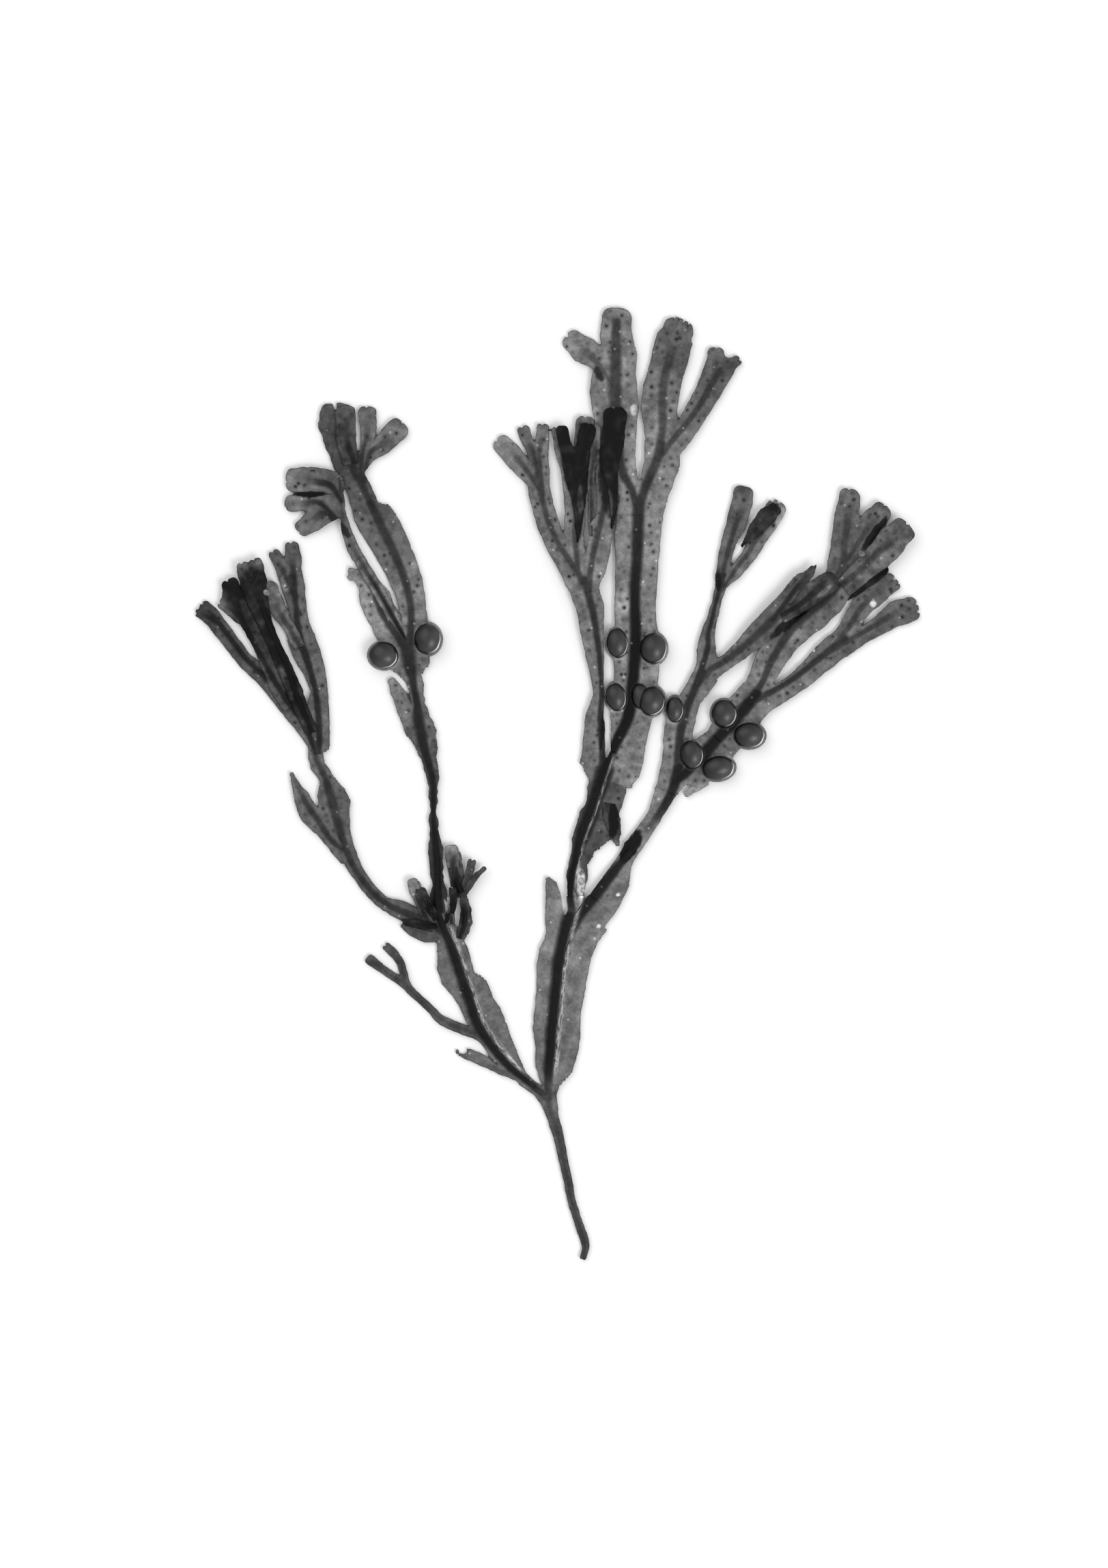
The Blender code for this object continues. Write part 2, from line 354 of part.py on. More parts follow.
def blade_mesh(name, first, last, extra_height):
    """One stretch of a blade, closed: flat beneath, thin at its edges, ridged along the midrib."""
    rows = sections(name)
    stretch = rows[first:] if last is None else rows[first:last + 1]
    if last is None:
        stretch = stretch + rounded_end(stretch[-1])
    if first > 0:
        stretch[0] = [stretch[0][0] + stretch[0][1] * NODE_GAP] + stretch[0][1:]
    shouldered = stretch[0][5] > SHOULDER_RIB
    mesh = bmesh.new()
    rings = []
    for place, heading, left, right, under, rib in stretch:
        across = Vector((-heading.y, heading.x, 0.0))
        half_rib_left = min(RIB_HALF_WIDTH, left * RIB_SHARE)
        half_rib_right = min(RIB_HALF_WIDTH, right * RIB_SHARE)
        low = under + extra_height
        profile = [(left, low), (left, low + EDGE_THICKNESS), (0.0, low + BLADE_THICKNESS + rib),
                   (-right, low + EDGE_THICKNESS), (-right, low)]
        if shouldered:
            profile.insert(3, (-half_rib_right, low + BLADE_THICKNESS))
            profile.insert(2, (half_rib_left, low + BLADE_THICKNESS))
        rings.append([mesh.verts.new(place + across * side + Vector((0.0, 0.0, height)))
                      for side, height in profile])
    for ring, following in zip(rings, rings[1:]):
        count = len(ring)
        for index in range(count):
            after = (index + 1) % count
            mesh.faces.new((ring[index], ring[after], following[after], following[index]))
    mesh.faces.new(list(reversed(rings[0])))
    mesh.faces.new(rings[-1])
    return finished(mesh, name)


def bladder_mesh(x, y, half_width, half_length, lean):
    """One air bladder, a flattened ball that stands on the resting surface."""
    mesh = bmesh.new()
    bmesh.ops.create_uvsphere(mesh, u_segments=SPHERE_SIDES, v_segments=SPHERE_RINGS, radius=1.0)
    depth = min(half_width, half_length) * PIXEL * BLADDER_DEPTH
    turn = math.radians(lean)
    centre = metres(x, y)
    for vert in mesh.verts:
        wide = vert.co.x * half_width * PIXEL
        long = vert.co.y * half_length * PIXEL
        vert.co = centre + Vector((wide * math.cos(turn) - long * math.sin(turn),
                                   wide * math.sin(turn) + long * math.cos(turn),
                                   depth + STEP + vert.co.z * depth))
    return finished(mesh, "bladder")


def finished(mesh, name):
    """Faces turned out and split into triangles, then stored as a mesh."""
    bmesh.ops.recalc_face_normals(mesh, faces=mesh.faces)
    bmesh.ops.triangulate(mesh, faces=mesh.faces)
    data = bpy.data.meshes.new(name)
    mesh.to_mesh(data)
    mesh.free()
    return data


def simplified(data):
    """Faces that lie flat together become one, at the widest angle that keeps the body closed."""
    for angle in FLAT_ANGLES:
        mesh = bmesh.new()
        mesh.from_mesh(data)
        bmesh.ops.dissolve_limit(mesh, angle_limit=angle, verts=mesh.verts, edges=mesh.edges)
        bmesh.ops.triangulate(mesh, faces=mesh.faces)
        closed = all(len(edge.link_faces) == 2 for edge in mesh.edges)
        if closed:
            mesh.to_mesh(data)
        mesh.free()
        if closed:
            return data
    return data


def fused(name, meshes):
    """All the meshes joined into one body by a Boolean union, with the helpers removed again."""
    body = bpy.data.objects.new(name, meshes[0])
    bpy.context.scene.collection.objects.link(body)
    helpers = []
    for data in meshes[1:]:
        helper = bpy.data.objects.new("helper", data)
        helper.hide_render = True
        helper.display_type = "WIRE"
        bpy.context.scene.collection.objects.link(helper)
        join = body.modifiers.new("join", "BOOLEAN")
        join.operation = "UNION"
        join.solver = "EXACT"
        join.object = helper
        helpers.append(helper)
    bpy.context.view_layer.update()
    evaluated = body.evaluated_get(bpy.context.evaluated_depsgraph_get())
    whole = bpy.data.meshes.new_from_object(evaluated)
    body.modifiers.clear()
    body.data = simplified(whole)
    for helper in helpers:
        bpy.data.objects.remove(helper)
    return body


def wrack_material(name, colour):
    """A leathery algal finish in one shade of grey, as the photograph shows it."""
    material = bpy.data.materials.new(name)
    material.use_nodes = True
    shader = material.node_tree.nodes["Principled BSDF"]
    shader.inputs["Base Color"].default_value = (*colour, 1.0)
    shader.inputs["Roughness"].default_value = ROUGHNESS
    shader.inputs["Metallic"].default_value = 0.0
    material.diffuse_color = (*colour, 1.0)
    return material


def build():
    for thing in list(bpy.data.objects):
        bpy.data.objects.remove(thing)
    for name, (stretches, bladders) in NODES.items():
        meshes = [blade_mesh(blade, first, last, index * STEP)
                  for index, (blade, first, last) in enumerate(stretches)]
        meshes += [bladder_mesh(*bladder) for bladder in bladders]
        body = fused(name, meshes)
        body.data.materials.clear()
        shade = SHADES["stem" if name in STEM_NODES else "blade"]
        body.data.materials.append(wrack_material(name, shade))
        body.data.shade_smooth()
        body.data.set_sharp_from_angle(angle=SHARP_ANGLE)


build()
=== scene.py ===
# Bladder wrack frond: blades, midribs and air bladders grown from listed rows.
# Lengths are in millimetres where the growth is shaped, and in metres on the meshes.
import json
import math

import bpy
import numpy as np
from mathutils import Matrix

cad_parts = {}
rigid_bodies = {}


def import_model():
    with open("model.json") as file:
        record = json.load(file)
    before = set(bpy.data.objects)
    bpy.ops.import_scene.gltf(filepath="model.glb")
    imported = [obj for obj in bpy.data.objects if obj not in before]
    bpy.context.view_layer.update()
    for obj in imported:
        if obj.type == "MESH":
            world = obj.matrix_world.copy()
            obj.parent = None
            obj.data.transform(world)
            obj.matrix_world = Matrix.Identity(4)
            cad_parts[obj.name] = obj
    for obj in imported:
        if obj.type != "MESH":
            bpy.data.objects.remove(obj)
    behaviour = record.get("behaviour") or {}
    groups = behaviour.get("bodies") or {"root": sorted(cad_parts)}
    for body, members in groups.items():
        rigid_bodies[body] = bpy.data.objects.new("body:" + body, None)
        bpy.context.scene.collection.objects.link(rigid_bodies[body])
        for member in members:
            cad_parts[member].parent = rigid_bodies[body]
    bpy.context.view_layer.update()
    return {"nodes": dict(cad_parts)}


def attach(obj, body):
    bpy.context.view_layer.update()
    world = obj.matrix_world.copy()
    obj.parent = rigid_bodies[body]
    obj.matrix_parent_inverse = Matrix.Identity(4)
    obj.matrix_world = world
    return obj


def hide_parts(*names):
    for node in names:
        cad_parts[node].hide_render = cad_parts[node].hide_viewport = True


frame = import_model()
print("frame loaded:", len(frame["nodes"]), "nodes")

photo = {
    "width": 1623, "height": 2296,
    "originX": 806, "originY": 1604,      # the pixel over the frame's origin
    "mmPerPixel": 306.0 / 1394,
}

growth = {
    "cell": 0.42,                # between neighbouring points of a blade's skin
    "gridRoom": 2.5,             # around a blade's rows
    "sampleStep": 0.8,           # between samples along a blade's middle
    "blend": 0.8,                # over which two blades melt together at a fork
    "overlap": 0.12,             # of a blade's two stretches, where one piece ends and the next begins
    "tipPower": 3.0,             # 2 gives round tips, more gives squarer ones
    "thickness": (0.30, 0.72),   # at the margin and inside it
    "bevel": 1.8,                # in from the margin, where the blade is full
    "lift": 0.57,                # of a blade's middle above the ground
    "lowest": 0.03, "thinnest": 0.2,
    "flankDip": 0.10,            # how much the skin sinks between midrib and margin
    "marginCurl": 0.55,          # how far a margin curls up
    "marginRagged": 0.16,
    # sizes and strengths of noise: on margins, on ragged margins, in the sheet and in its tone
    "marginWaves": [(2.6, 1.0), (1.1, 0.6)],
    "raggedWaves": [(3.4, 1.0), (1.5, 0.7)],
    "sheetWaves": [(9.0, 0.22), (1.6, 0.05)],
    "toneWaves": [(3.1, 0.16), (1.3, 0.08)],
    "firstLayerMottle": 0.25,    # how much of the tone's noise the lowest layer gets
    "bladderRim": 0.45,          # of the blade around a bladder
}

ribForm = {
    "half": 0.33, "halfPerReach": 0.19,                # half width, and its growth with the blade's
    "heights": (1.5, 0.35), "heightsFrom": (10, 200),  # low and high in the frond
    "fainterUp": 0.42, "fainterFrom": (120, 235),      # how much fainter it shows high in the frond
    "endFade": 10.0,                                   # over which it fades out at a blade's end
}

# The blades. Rows run from base to tip: x and y in the photo's pixels, and the reach of the blade
# to the left and right of them. Beside them stand the blade that it grows from, how far it is off
# the ground and how dark it reads at its base and tip (0 is one thin layer, 1 is black; the dark
# tones are partly the blade's own thicker skin and partly painted shade where a blade folds or lies
# over others), how strong and wide its midrib is, a gap in the rib (x, y, reach), a pale fibrous
# strip beside it (how far to the left, width), how ragged its margins are, and cuts in its tip
# (place across it from -1 to 1, depth, half width). What a blade doesn't say is in plainBlade
plainBlade = {
    "parent": None, "under": (0, 0), "rib": 1.0, "ribWidth": 1.0, "ribGap": None, "strip": None,
    "ragged": 0.05, "notches": [(0.12, 0.7, 0.55)],
}
blades = {
    # Stem and the right branch
    "stem": {"tone": (0.54, 0.54), "rib": 0.35, "ragged": 0.04, "rows": [(854, 1843, 4, 4),
        (857, 1822, 5, 6), (851, 1800, 6, 6), (838, 1760, 6, 6), (830, 1720, 6, 6), (822, 1680, 7, 7),
        (816, 1655, 8, 8), (808, 1630, 9, 9), (804, 1608, 10, 11), (804, 1594, 9, 12)]},
    "right_wing": {"parent": "stem", "tone": (0.4, 0.2), "rib": 1.3, "ribWidth": 1.3,
        "strip": (-1.8, 0.75), "ragged": 0.12, "rows": [(806, 1622, 9, 9), (804, 1604, 10, 11),
        (803, 1588, 9, 17), (805, 1565, 21, 34), (808, 1540, 24, 38), (810, 1510, 29, 41),
        (813, 1480, 30, 38), (816, 1450, 30, 40), (819, 1420, 33, 43), (823, 1395, 33, 44),
        (828, 1370, 28, 48), (835, 1345, 32, 56)]},
    "upright_flap": {"parent": "right_wing", "under": (0, 0.5), "tone": (0.22, 0.3), "rib": 0.1,
        "ragged": 0.2, "notches": [], "rows": [(818, 1366, 18, 12), (813, 1338, 14, 12),
        (811, 1314, 12, 11), (807, 1296, 8, 9), (804, 1288, 5, 4)]},
    "middle_arm": {"parent": "right_wing", "tone": (0.58, 0.5), "rib": 1.25, "ribWidth": 1.7,
        "strip": (-1.2, 0.4), "ragged": 0.34, "rows": [(831, 1358, 12, 12), (838, 1335, 7, 16),
        (836, 1312, 6, 20), (838, 1285, 8, 22), (843, 1262, 9, 17), (848, 1240, 10, 25),
        (856, 1215, 13, 42), (864, 1195, 15, 42), (871, 1175, 12, 38), (879, 1150, 18, 38),
        (886, 1128, 30, 34)]},
    "right_arm": {"parent": "right_wing", "under": (0, 0.3), "tone": (0.34, 0.2), "rib": 1.2,
        "ribWidth": 1.5, "ribGap": (948, 1222, 7.5), "ragged": 0.14, "rows": [(836, 1352, 10, 44),
        (852, 1332, 7, 42), (868, 1314, 7, 40), (883, 1296, 7, 37), (898, 1277, 8, 30),
        (912, 1260, 9, 15), (926, 1243, 13, 12), (941, 1223, 13, 11), (957, 1204, 14, 8),
        (971, 1184, 20, 6), (983, 1162, 25, 8), (990, 1142, 26, 16), (994, 1124, 25, 18)]},
    # Middle arms and the tall blade
    # the torn fold lies doubled: its dark tone is painted shade
    "torn_fold": {"under": (0.4, 0.4), "tone": (0.8, 0.4), "rib": 0.0, "ragged": 0.25,
        "notches": [], "rows": [(896, 1176, 6, 14), (897, 1200, 12, 12), (901, 1222, 8, 8),
        (904, 1236, 3, 3)]},
    "fan_arm": {"parent": "middle_arm", "under": (0, 2.2), "tone": (0.24, 0.3), "rows": [
        (880, 1142, 18, 6), (882, 1118, 33, 4), (882, 1096, 29, 4), (880, 1070, 25, 7),
        (879, 1045, 20, 5), (881, 1018, 12, 4), (880, 990, 15, 4), (878, 960, 20, 6), (873, 925, 23, 11),
        (868, 895, 23, 18), (861, 868, 25, 18), (856, 850, 28, 24)]},
    "tall_blade": {"parent": "middle_arm", "under": (0, 1.2), "tone": (0.2, 0.18), "rib": 1.45,
        "ribWidth": 1.15, "rows": [(882, 1140, 8, 44), (889, 1120, 4, 50), (897, 1100, 3, 49),
        (906, 1080, 13, 43), (916, 1060, 24, 36), (923, 1038, 30, 34), (926, 1010, 28, 38),
        (928, 985, 29, 36), (930, 955, 32, 36), (931, 925, 31, 33), (930, 895, 29, 30),
        (930, 860, 29, 32), (933, 820, 32, 31), (934, 785, 34, 34), (935, 755, 33, 36),
        (936, 732, 30, 40)]},
    "tall_left": {"parent": "tall_blade", "under": (1.2, 0.4), "tone": (0.14, 0.26), "rib": 1.35,
        "ribWidth": 1.25, "notches": [(-0.25, 2.3, 0.5), (-0.62, 0.9, 0.3), (0.3, 0.6, 0.4)], "rows": [
        (936, 742, 18, 10), (926, 720, 20, 12), (914, 697, 20, 20), (907, 670, 22, 24),
        (904, 640, 28, 27), (902, 605, 33, 33), (901, 575, 38, 33), (901, 548, 34, 30),
        (902, 520, 23, 31), (902, 495, 23, 25), (903, 473, 22, 22)]},
    "tall_side_lobe": {"parent": "tall_left", "under": (0.6, 0), "tone": (0.26, 0.18), "ragged": 0.12,
        "notches": [(0.0, 1.2, 0.7), (-0.6, 0.6, 0.4)], "rows": [(894, 552, 10, 10), (875, 532, 12, 22),
        (856, 515, 19, 22), (841, 502, 15, 16)]},
    "tall_right": {"parent": "tall_blade", "under": (1.2, 0.6), "tone": (0.18, 0.24), "rib": 1.3,
        "ribWidth": 1.2, "rows": [(936, 742, 8, 28), (943, 720, 10, 36), (952, 698, 13, 36),
        (962, 675, 19, 34), (968, 652, 24, 30)]},
    "tall_right_inner": {"parent": "tall_right", "under": (0.7, 0.2), "tone": (0.2, 0.45),
        "notches": [(-0.5, 1.4, 0.3), (-0.15, 1.7, 0.3), (0.2, 1.4, 0.3), (0.5, 0.9, 0.3)], "rows": [
        (966, 662, 20, 16), (970, 630, 27, 22), (970, 600, 31, 22), (971, 573, 30, 25),
        (975, 548, 26, 26), (981, 522, 26, 28), (987, 497, 26, 28), (990, 488, 21, 24)]},
    "tall_right_outer": {"parent": "tall_right", "under": (0.7, 0.2), "tone": (0.22, 0.48), "rows": [
        (966, 668, 8, 20), (985, 645, 12, 22), (1005, 621, 13, 20), (1022, 598, 17, 18),
        (1036, 574, 18, 20), (1048, 553, 22, 20), (1054, 543, 22, 20)]},
    "tall_outer_tooth_left": {"parent": "tall_right_outer", "under": (0.3, 0.1), "tone": (0.48, 0.42),
        "rib": 0.5, "notches": [(-0.1, 0.8, 0.5)], "rows": [(1050, 552, 16, 14), (1048, 532, 15, 14),
        (1048, 521, 12, 12)]},
    "tall_outer_tooth_right": {"parent": "tall_right_outer", "under": (0.3, 0.1), "tone": (0.48, 0.48),
        "rib": 0.5, "notches": [(-0.2, 1.0, 0.6)], "rows": [(1052, 552, 12, 12), (1066, 538, 12, 11),
        (1077, 530, 8, 8)]},
    # Centre fan
    "fan_left": {"parent": "fan_arm", "under": (2.2, 0.6), "tone": (0.3, 0.34), "rib": 0.85, "rows": [
        (855, 853, 20, 12), (847, 841, 24, 12), (833, 820, 20, 14), (818, 797, 18, 12),
        (806, 770, 19, 14), (797, 742, 17, 14), (790, 715, 17, 16), (787, 695, 16, 18)]},
    "fan_left_outer": {"parent": "fan_left", "under": (0.8, 0), "tone": (0.32, 0.2), "rows": [
        (792, 716, 10, 6), (772, 690, 15, 11), (753, 667, 17, 14), (739, 653, 15, 14)]},
    "fan_left_mid": {"parent": "fan_left", "under": (0.8, 0.3), "tone": (0.42, 0.4), "rows": [
        (788, 700, 12, 8), (783, 668, 10, 8), (773, 646, 9, 8), (768, 633, 9, 9)]},
    "fan_left_inner": {"parent": "fan_left", "under": (0.8, 0.3), "tone": (0.3, 0.34), "rows": [
        (789, 700, 8, 14), (790, 665, 8, 14), (794, 642, 10, 11), (795, 629, 9, 9)]},
    "fan_middle": {"parent": "fan_left", "under": (2.2, 1.2), "tone": (0.2, 0.3), "rib": 0.85, "rows": [
        (854, 852, 14, 14), (845, 822, 14, 14), (842, 785, 16, 14), (843, 745, 16, 14),
        (842, 710, 18, 18), (840, 685, 18, 20)]},
    "fan_middle_outer": {"parent": "fan_middle", "under": (1.4, 0.8), "tone": (0.24, 0.34), "rows": [
        (838, 700, 12, 10), (824, 664, 10, 10), (818, 634, 10, 10)]},
    "fan_middle_inner": {"parent": "fan_middle", "under": (1.4, 0.8), "tone": (0.3, 0.4), "rows": [
        (845, 700, 12, 14), (853, 656, 13, 14), (857, 624, 14, 14)]},
    "fan_right": {"parent": "fan_arm", "under": (2.2, 2.4), "tone": (0.14, 0.22), "rib": 0.85, "rows": [
        (860, 852, 8, 18), (865, 835, 10, 22), (870, 805, 11, 24), (876, 775, 12, 21)]},
    "fan_right_outer": {"parent": "fan_right", "under": (2.4, 2.0), "tone": (0.22, 0.38), "rows": [
        (870, 785, 8, 6), (866, 740, 5, 4), (866, 700, 5, 4), (871, 662, 8, 8), (871, 630, 9, 9)]},
    "fan_right_inner": {"parent": "fan_right", "under": (2.4, 2.6), "tone": (0.26, 0.5), "rows": [
        (878, 782, 8, 18), (884, 745, 11, 17), (887, 705, 15, 16), (888, 672, 15, 14)]},
    # the folded tips lie doubled over the fan: their near-black tones are painted shade
    "folded_tip_left": {"under": (2.6, 2.4), "tone": (0.88, 0.93), "rib": 0.3, "notches": [], "rows": [
        (846, 796, 1, 1), (847, 770, 5, 5), (848, 735, 10, 10), (843, 697, 17, 17), (829, 655, 9, 9),
        (824, 634, 9, 9)]},
    "folded_tip_middle": {"under": (3.0, 2.4), "tone": (0.93, 0.96), "rib": 0.3, "rows": [
        (845, 705, 12, 12), (852, 662, 10, 12), (860, 634, 13, 12)]},
    "folded_tip_right": {"under": (2.8, 3.2), "tone": (0.9, 0.96), "rib": 0.3, "rows": [(896, 775, 1, 1),
        (898, 750, 4, 5), (899, 715, 10, 6), (896, 685, 16, 10), (897, 655, 16, 16), (900, 632, 18, 15),
        (901, 615, 18, 17)]},
    # Left branch and the crown
    "left_wing": {"parent": "stem", "tone": (0.36, 0.36), "rib": 1.2, "ribWidth": 1.55,
        "strip": (-1.65, 0.65), "ragged": 0.18, "rows": [(808, 1628, 8, 8), (799, 1606, 13, 8),
        (782, 1591, 10, 8), (765, 1577, 10, 10), (748, 1562, 12, 18), (733, 1545, 13, 25),
        (720, 1528, 13, 31), (708, 1510, 14, 37), (698, 1490, 15, 37), (691, 1468, 19, 32),
        (684, 1446, 26, 31), (678, 1430, 32, 18), (670, 1405, 31, 20), (662, 1384, 24, 20),
        (654, 1366, 16, 20), (646, 1346, 14, 14)]},
    "lower_flap": {"tone": (0.45, 0.28), "rib": 0.15, "ragged": 0.2, "notches": [], "rows": [
        (754, 1575, 5, 5), (731, 1565, 7, 5), (712, 1556, 8, 8), (697, 1548, 9, 9), (684, 1544, 7, 8),
        (671, 1540, 4, 3)]},
    "sprig": {"parent": "left_wing", "tone": (0.52, 0.52), "rib": 0.35, "ragged": 0.1, "rows": [
        (712, 1520, 8, 8), (698, 1513, 9, 9), (684, 1509, 8, 7), (662, 1500, 8, 7), (644, 1490, 7, 6),
        (625, 1472, 6, 6), (606, 1455, 6, 6), (592, 1440, 7, 7), (575, 1429, 6, 6), (558, 1417, 7, 6),
        (544, 1407, 7, 8)]},
    "sprig_upper": {"parent": "sprig", "tone": (0.52, 0.5), "rib": 0.3, "ragged": 0.14, "rows": [
        (596, 1446, 5, 5), (592, 1428, 5, 5), (586, 1408, 6, 6), (575, 1394, 7, 7), (568, 1387, 6, 6)]},
    "crown_left": {"parent": "left_wing", "under": (0.4, 0), "tone": (0.5, 0.38), "rib": 0.7,
        "ribWidth": 1.2, "ragged": 0.14, "rows": [(646, 1356, 10, 12), (625, 1347, 11, 12),
        (604, 1340, 11, 15), (583, 1332, 12, 15), (562, 1320, 11, 9), (543, 1303, 10, 9),
        (528, 1284, 9, 10), (515, 1263, 10, 12), (506, 1240, 12, 13), (499, 1218, 18, 15),
        (493, 1198, 20, 20), (488, 1178, 22, 26), (483, 1160, 18, 22), (477, 1140, 10, 12),
        (468, 1121, 13, 9), (462, 1104, 10, 12), (465, 1088, 9, 18)]},
    "crown_up": {"parent": "left_wing", "under": (0.4, 0), "tone": (0.82, 0.26), "ribWidth": 1.5,
        "ragged": 0.36, "rows": [(650, 1362, 12, 12), (643, 1335, 14, 14), (641, 1305, 9, 13),
        (641, 1280, 10, 9), (640, 1258, 11, 10), (638, 1235, 9, 8), (636, 1212, 7, 6), (635, 1190, 5, 5),
        (635, 1165, 6, 6), (634, 1145, 7, 8), (629, 1122, 8, 12), (622, 1098, 11, 19),
        (617, 1073, 21, 22), (613, 1050, 25, 16), (611, 1030, 9, 13), (607, 1010, 8, 12),
        (604, 992, 15, 14), (601, 975, 27, 29), (598, 956, 33, 30), (596, 940, 30, 26)]},
    "stalk": {"under": (0.2, 1.2), "tone": (0.62, 0.7), "ragged": 0.25, "rows": [(674, 1374, 6, 7),
        (681, 1348, 7, 12), (680, 1324, 6, 8), (678, 1306, 4, 4)]},
    "tuft_1": {"under": (1.0, 1.0), "tone": (0.75, 0.36), "rib": 0.4, "rows": [(675, 1314, 5, 5),
        (670, 1284, 8, 10), (666, 1256, 10, 11)]},
    "tuft_2": {"under": (1.0, 1.6), "tone": (0.55, 0.36), "rib": 0.4, "rows": [(677, 1312, 5, 4),
        (685, 1284, 5, 6), (691, 1264, 6, 6)]},
    "tuft_3": {"under": (1.2, 2.2), "tone": (0.6, 0.45), "rib": 0.4, "ragged": 0.12,
        "notches": [], "rows": [(679, 1312, 4, 4), (695, 1286, 5, 5), (709, 1272, 3, 3)]},
    "tuft_4": {"under": (1.0, 1.2), "tone": (0.5, 0.3), "rib": 0.4, "rows": [(636, 1352, 6, 6),
        (620, 1325, 7, 7), (608, 1299, 9, 10)]},
    "tuft_5": {"under": (1.4, 2.0), "tone": (0.88, 0.8), "rows": [(640, 1346, 6, 6), (624, 1318, 8, 7),
        (618, 1307, 8, 8)]},
    "tuft_6": {"under": (0.6, 1.8), "tone": (0.85, 0.75), "rows": [(652, 1352, 6, 6), (664, 1325, 5, 5),
        (664, 1304, 6, 5)]},
    "low_skirt": {"under": (0.2, 0), "tone": (0.6, 0.45), "rib": 0.1, "ragged": 0.25,
        "notches": [], "rows": [(654, 1374, 6, 5), (625, 1369, 11, 7), (604, 1362, 8, 6),
        (590, 1356, 4, 3)]},
    # Outer left fan
    "left_flap": {"parent": "crown_left", "under": (0, 0.4), "tone": (0.44, 0.36), "rib": 0.7,
        "ragged": 0.2, "notches": [], "rows": [(508, 1260, 9, 6), (486, 1231, 11, 12),
        (469, 1205, 17, 12), (454, 1184, 19, 10), (444, 1165, 14, 8), (434, 1147, 7, 5),
        (428, 1134, 3, 3)]},
    "left_fan_right": {"parent": "crown_left", "under": (0, 0.2), "tone": (0.35, 0.48), "rows": [
        (469, 1099, 10, 14), (468, 1068, 16, 15), (466, 1040, 18, 16), (462, 1010, 8, 18),
        (455, 983, 12, 22), (447, 958, 18, 23), (440, 935, 19, 22), (436, 912, 14, 17),
        (434, 888, 12, 15), (430, 862, 16, 17), (426, 845, 17, 18)]},
    "left_fan_tip_1": {"parent": "left_fan_right", "under": (0.2, 0), "tone": (0.45, 0.45), "rows": [
        (424, 856, 12, 10), (412, 831, 9, 9), (403, 814, 8, 9)]},
    "left_fan_tip_2": {"parent": "left_fan_right", "under": (0.2, 0), "tone": (0.48, 0.5), "rows": [
        (427, 852, 12, 14), (429, 818, 11, 13), (428, 803, 10, 10)]},
    "left_fan_inner": {"under": (0.8, 1.2), "tone": (0.42, 0.24), "rib": 0.6, "ragged": 0.2, "rows": [
        (440, 948, 8, 8), (424, 920, 9, 10), (409, 894, 12, 12), (396, 866, 14, 14)]},
    "left_fan_low": {"parent": "crown_left", "under": (0, 0.2), "tone": (0.44, 0.54), "rows": [
        (464, 1096, 9, 9), (449, 1066, 14, 16), (432, 1040, 18, 18), (411, 1013, 18, 16),
        (386, 989, 14, 14), (362, 966, 14, 9), (343, 942, 14, 9), (325, 918, 15, 10),
        (312, 902, 13, 11)]},
    "left_fan_low_tip_1": {"parent": "left_fan_low", "under": (0.2, 0), "tone": (0.62, 0.6), "rows": [
        (318, 914, 10, 8), (305, 903, 10, 8), (292, 899, 6, 6)]},
    "left_fan_low_tip_2": {"parent": "left_fan_low", "under": (0.2, 0), "tone": (0.62, 0.62), "rows": [
        (316, 910, 8, 10), (306, 894, 9, 9), (302, 889, 8, 8)]},
    "left_fan_mid": {"under": (0.6, 1.6), "tone": (0.5, 0.86), "ragged": 0.2, "rows": [
        (428, 1036, 14, 14), (408, 1006, 12, 16), (391, 976, 8, 16), (376, 948, 3, 16), (362, 922, 4, 18),
        (350, 896, 12, 18), (343, 872, 17, 16), (338, 860, 12, 14)]},
    "left_fan_mid_tip": {"under": (1.4, 0.8), "tone": (0.62, 0.42), "rows": [(354, 908, 7, 8),
        (341, 894, 9, 9), (329, 886, 9, 8)]},
    "left_fan_high": {"under": (1.2, 2.2), "tone": (0.84, 0.88), "ragged": 0.14, "rows": [
        (458, 1072, 10, 8), (444, 1040, 12, 9), (432, 1008, 14, 10), (420, 975, 15, 7), (407, 943, 15, 5),
        (394, 912, 16, 6), (383, 883, 18, 12), (373, 858, 20, 20), (369, 846, 18, 20)]},
    "left_fan_high_tip_1": {"under": (2.2, 2.2), "tone": (0.82, 0.48), "rows": [(370, 852, 14, 8),
        (359, 838, 10, 9), (357, 832, 9, 9)]},
    "left_fan_high_tip_2": {"under": (2.2, 2.2), "tone": (0.82, 0.48), "rows": [(372, 852, 8, 14),
        (377, 834, 10, 10), (376, 828, 10, 10)]},
    # Inner left blade, curled fan and broad fan
    "slit_flap": {"under": (0.2, 0.4), "tone": (0.26, 0.26), "rib": 0.0, "ragged": 0.12,
        "notches": [], "rows": [(604, 1062, 12, 8), (592, 1036, 11, 12), (583, 1014, 10, 10),
        (575, 999, 6, 6)]},
    "torn_blade": {"parent": "crown_up", "under": (0, 0.2), "tone": (0.18, 0.12), "ragged": 0.3, "rows": [
        (599, 958, 24, 8), (586, 937, 30, 12), (571, 915, 26, 18), (559, 894, 24, 20), (551, 874, 24, 20),
        (542, 856, 20, 12), (529, 843, 14, 8), (519, 840, 11, 7)]},
    "curled_arm": {"under": (0, 2.4), "tone": (0.28, 0.46), "rib": 1.25, "ribGap": (515, 780, 13.0),
        "ragged": 0.12, "rows": [(596, 940, 7, 8), (577, 906, 8, 11), (556, 868, 9, 9), (538, 839, 9, 9),
        (526, 818, 9, 9), (515, 797, 9, 9), (508, 777, 7, 7), (503, 757, 4, 5), (501, 735, 5, 4),
        (499, 712, 6, 3), (498, 702, 5, 3)]},
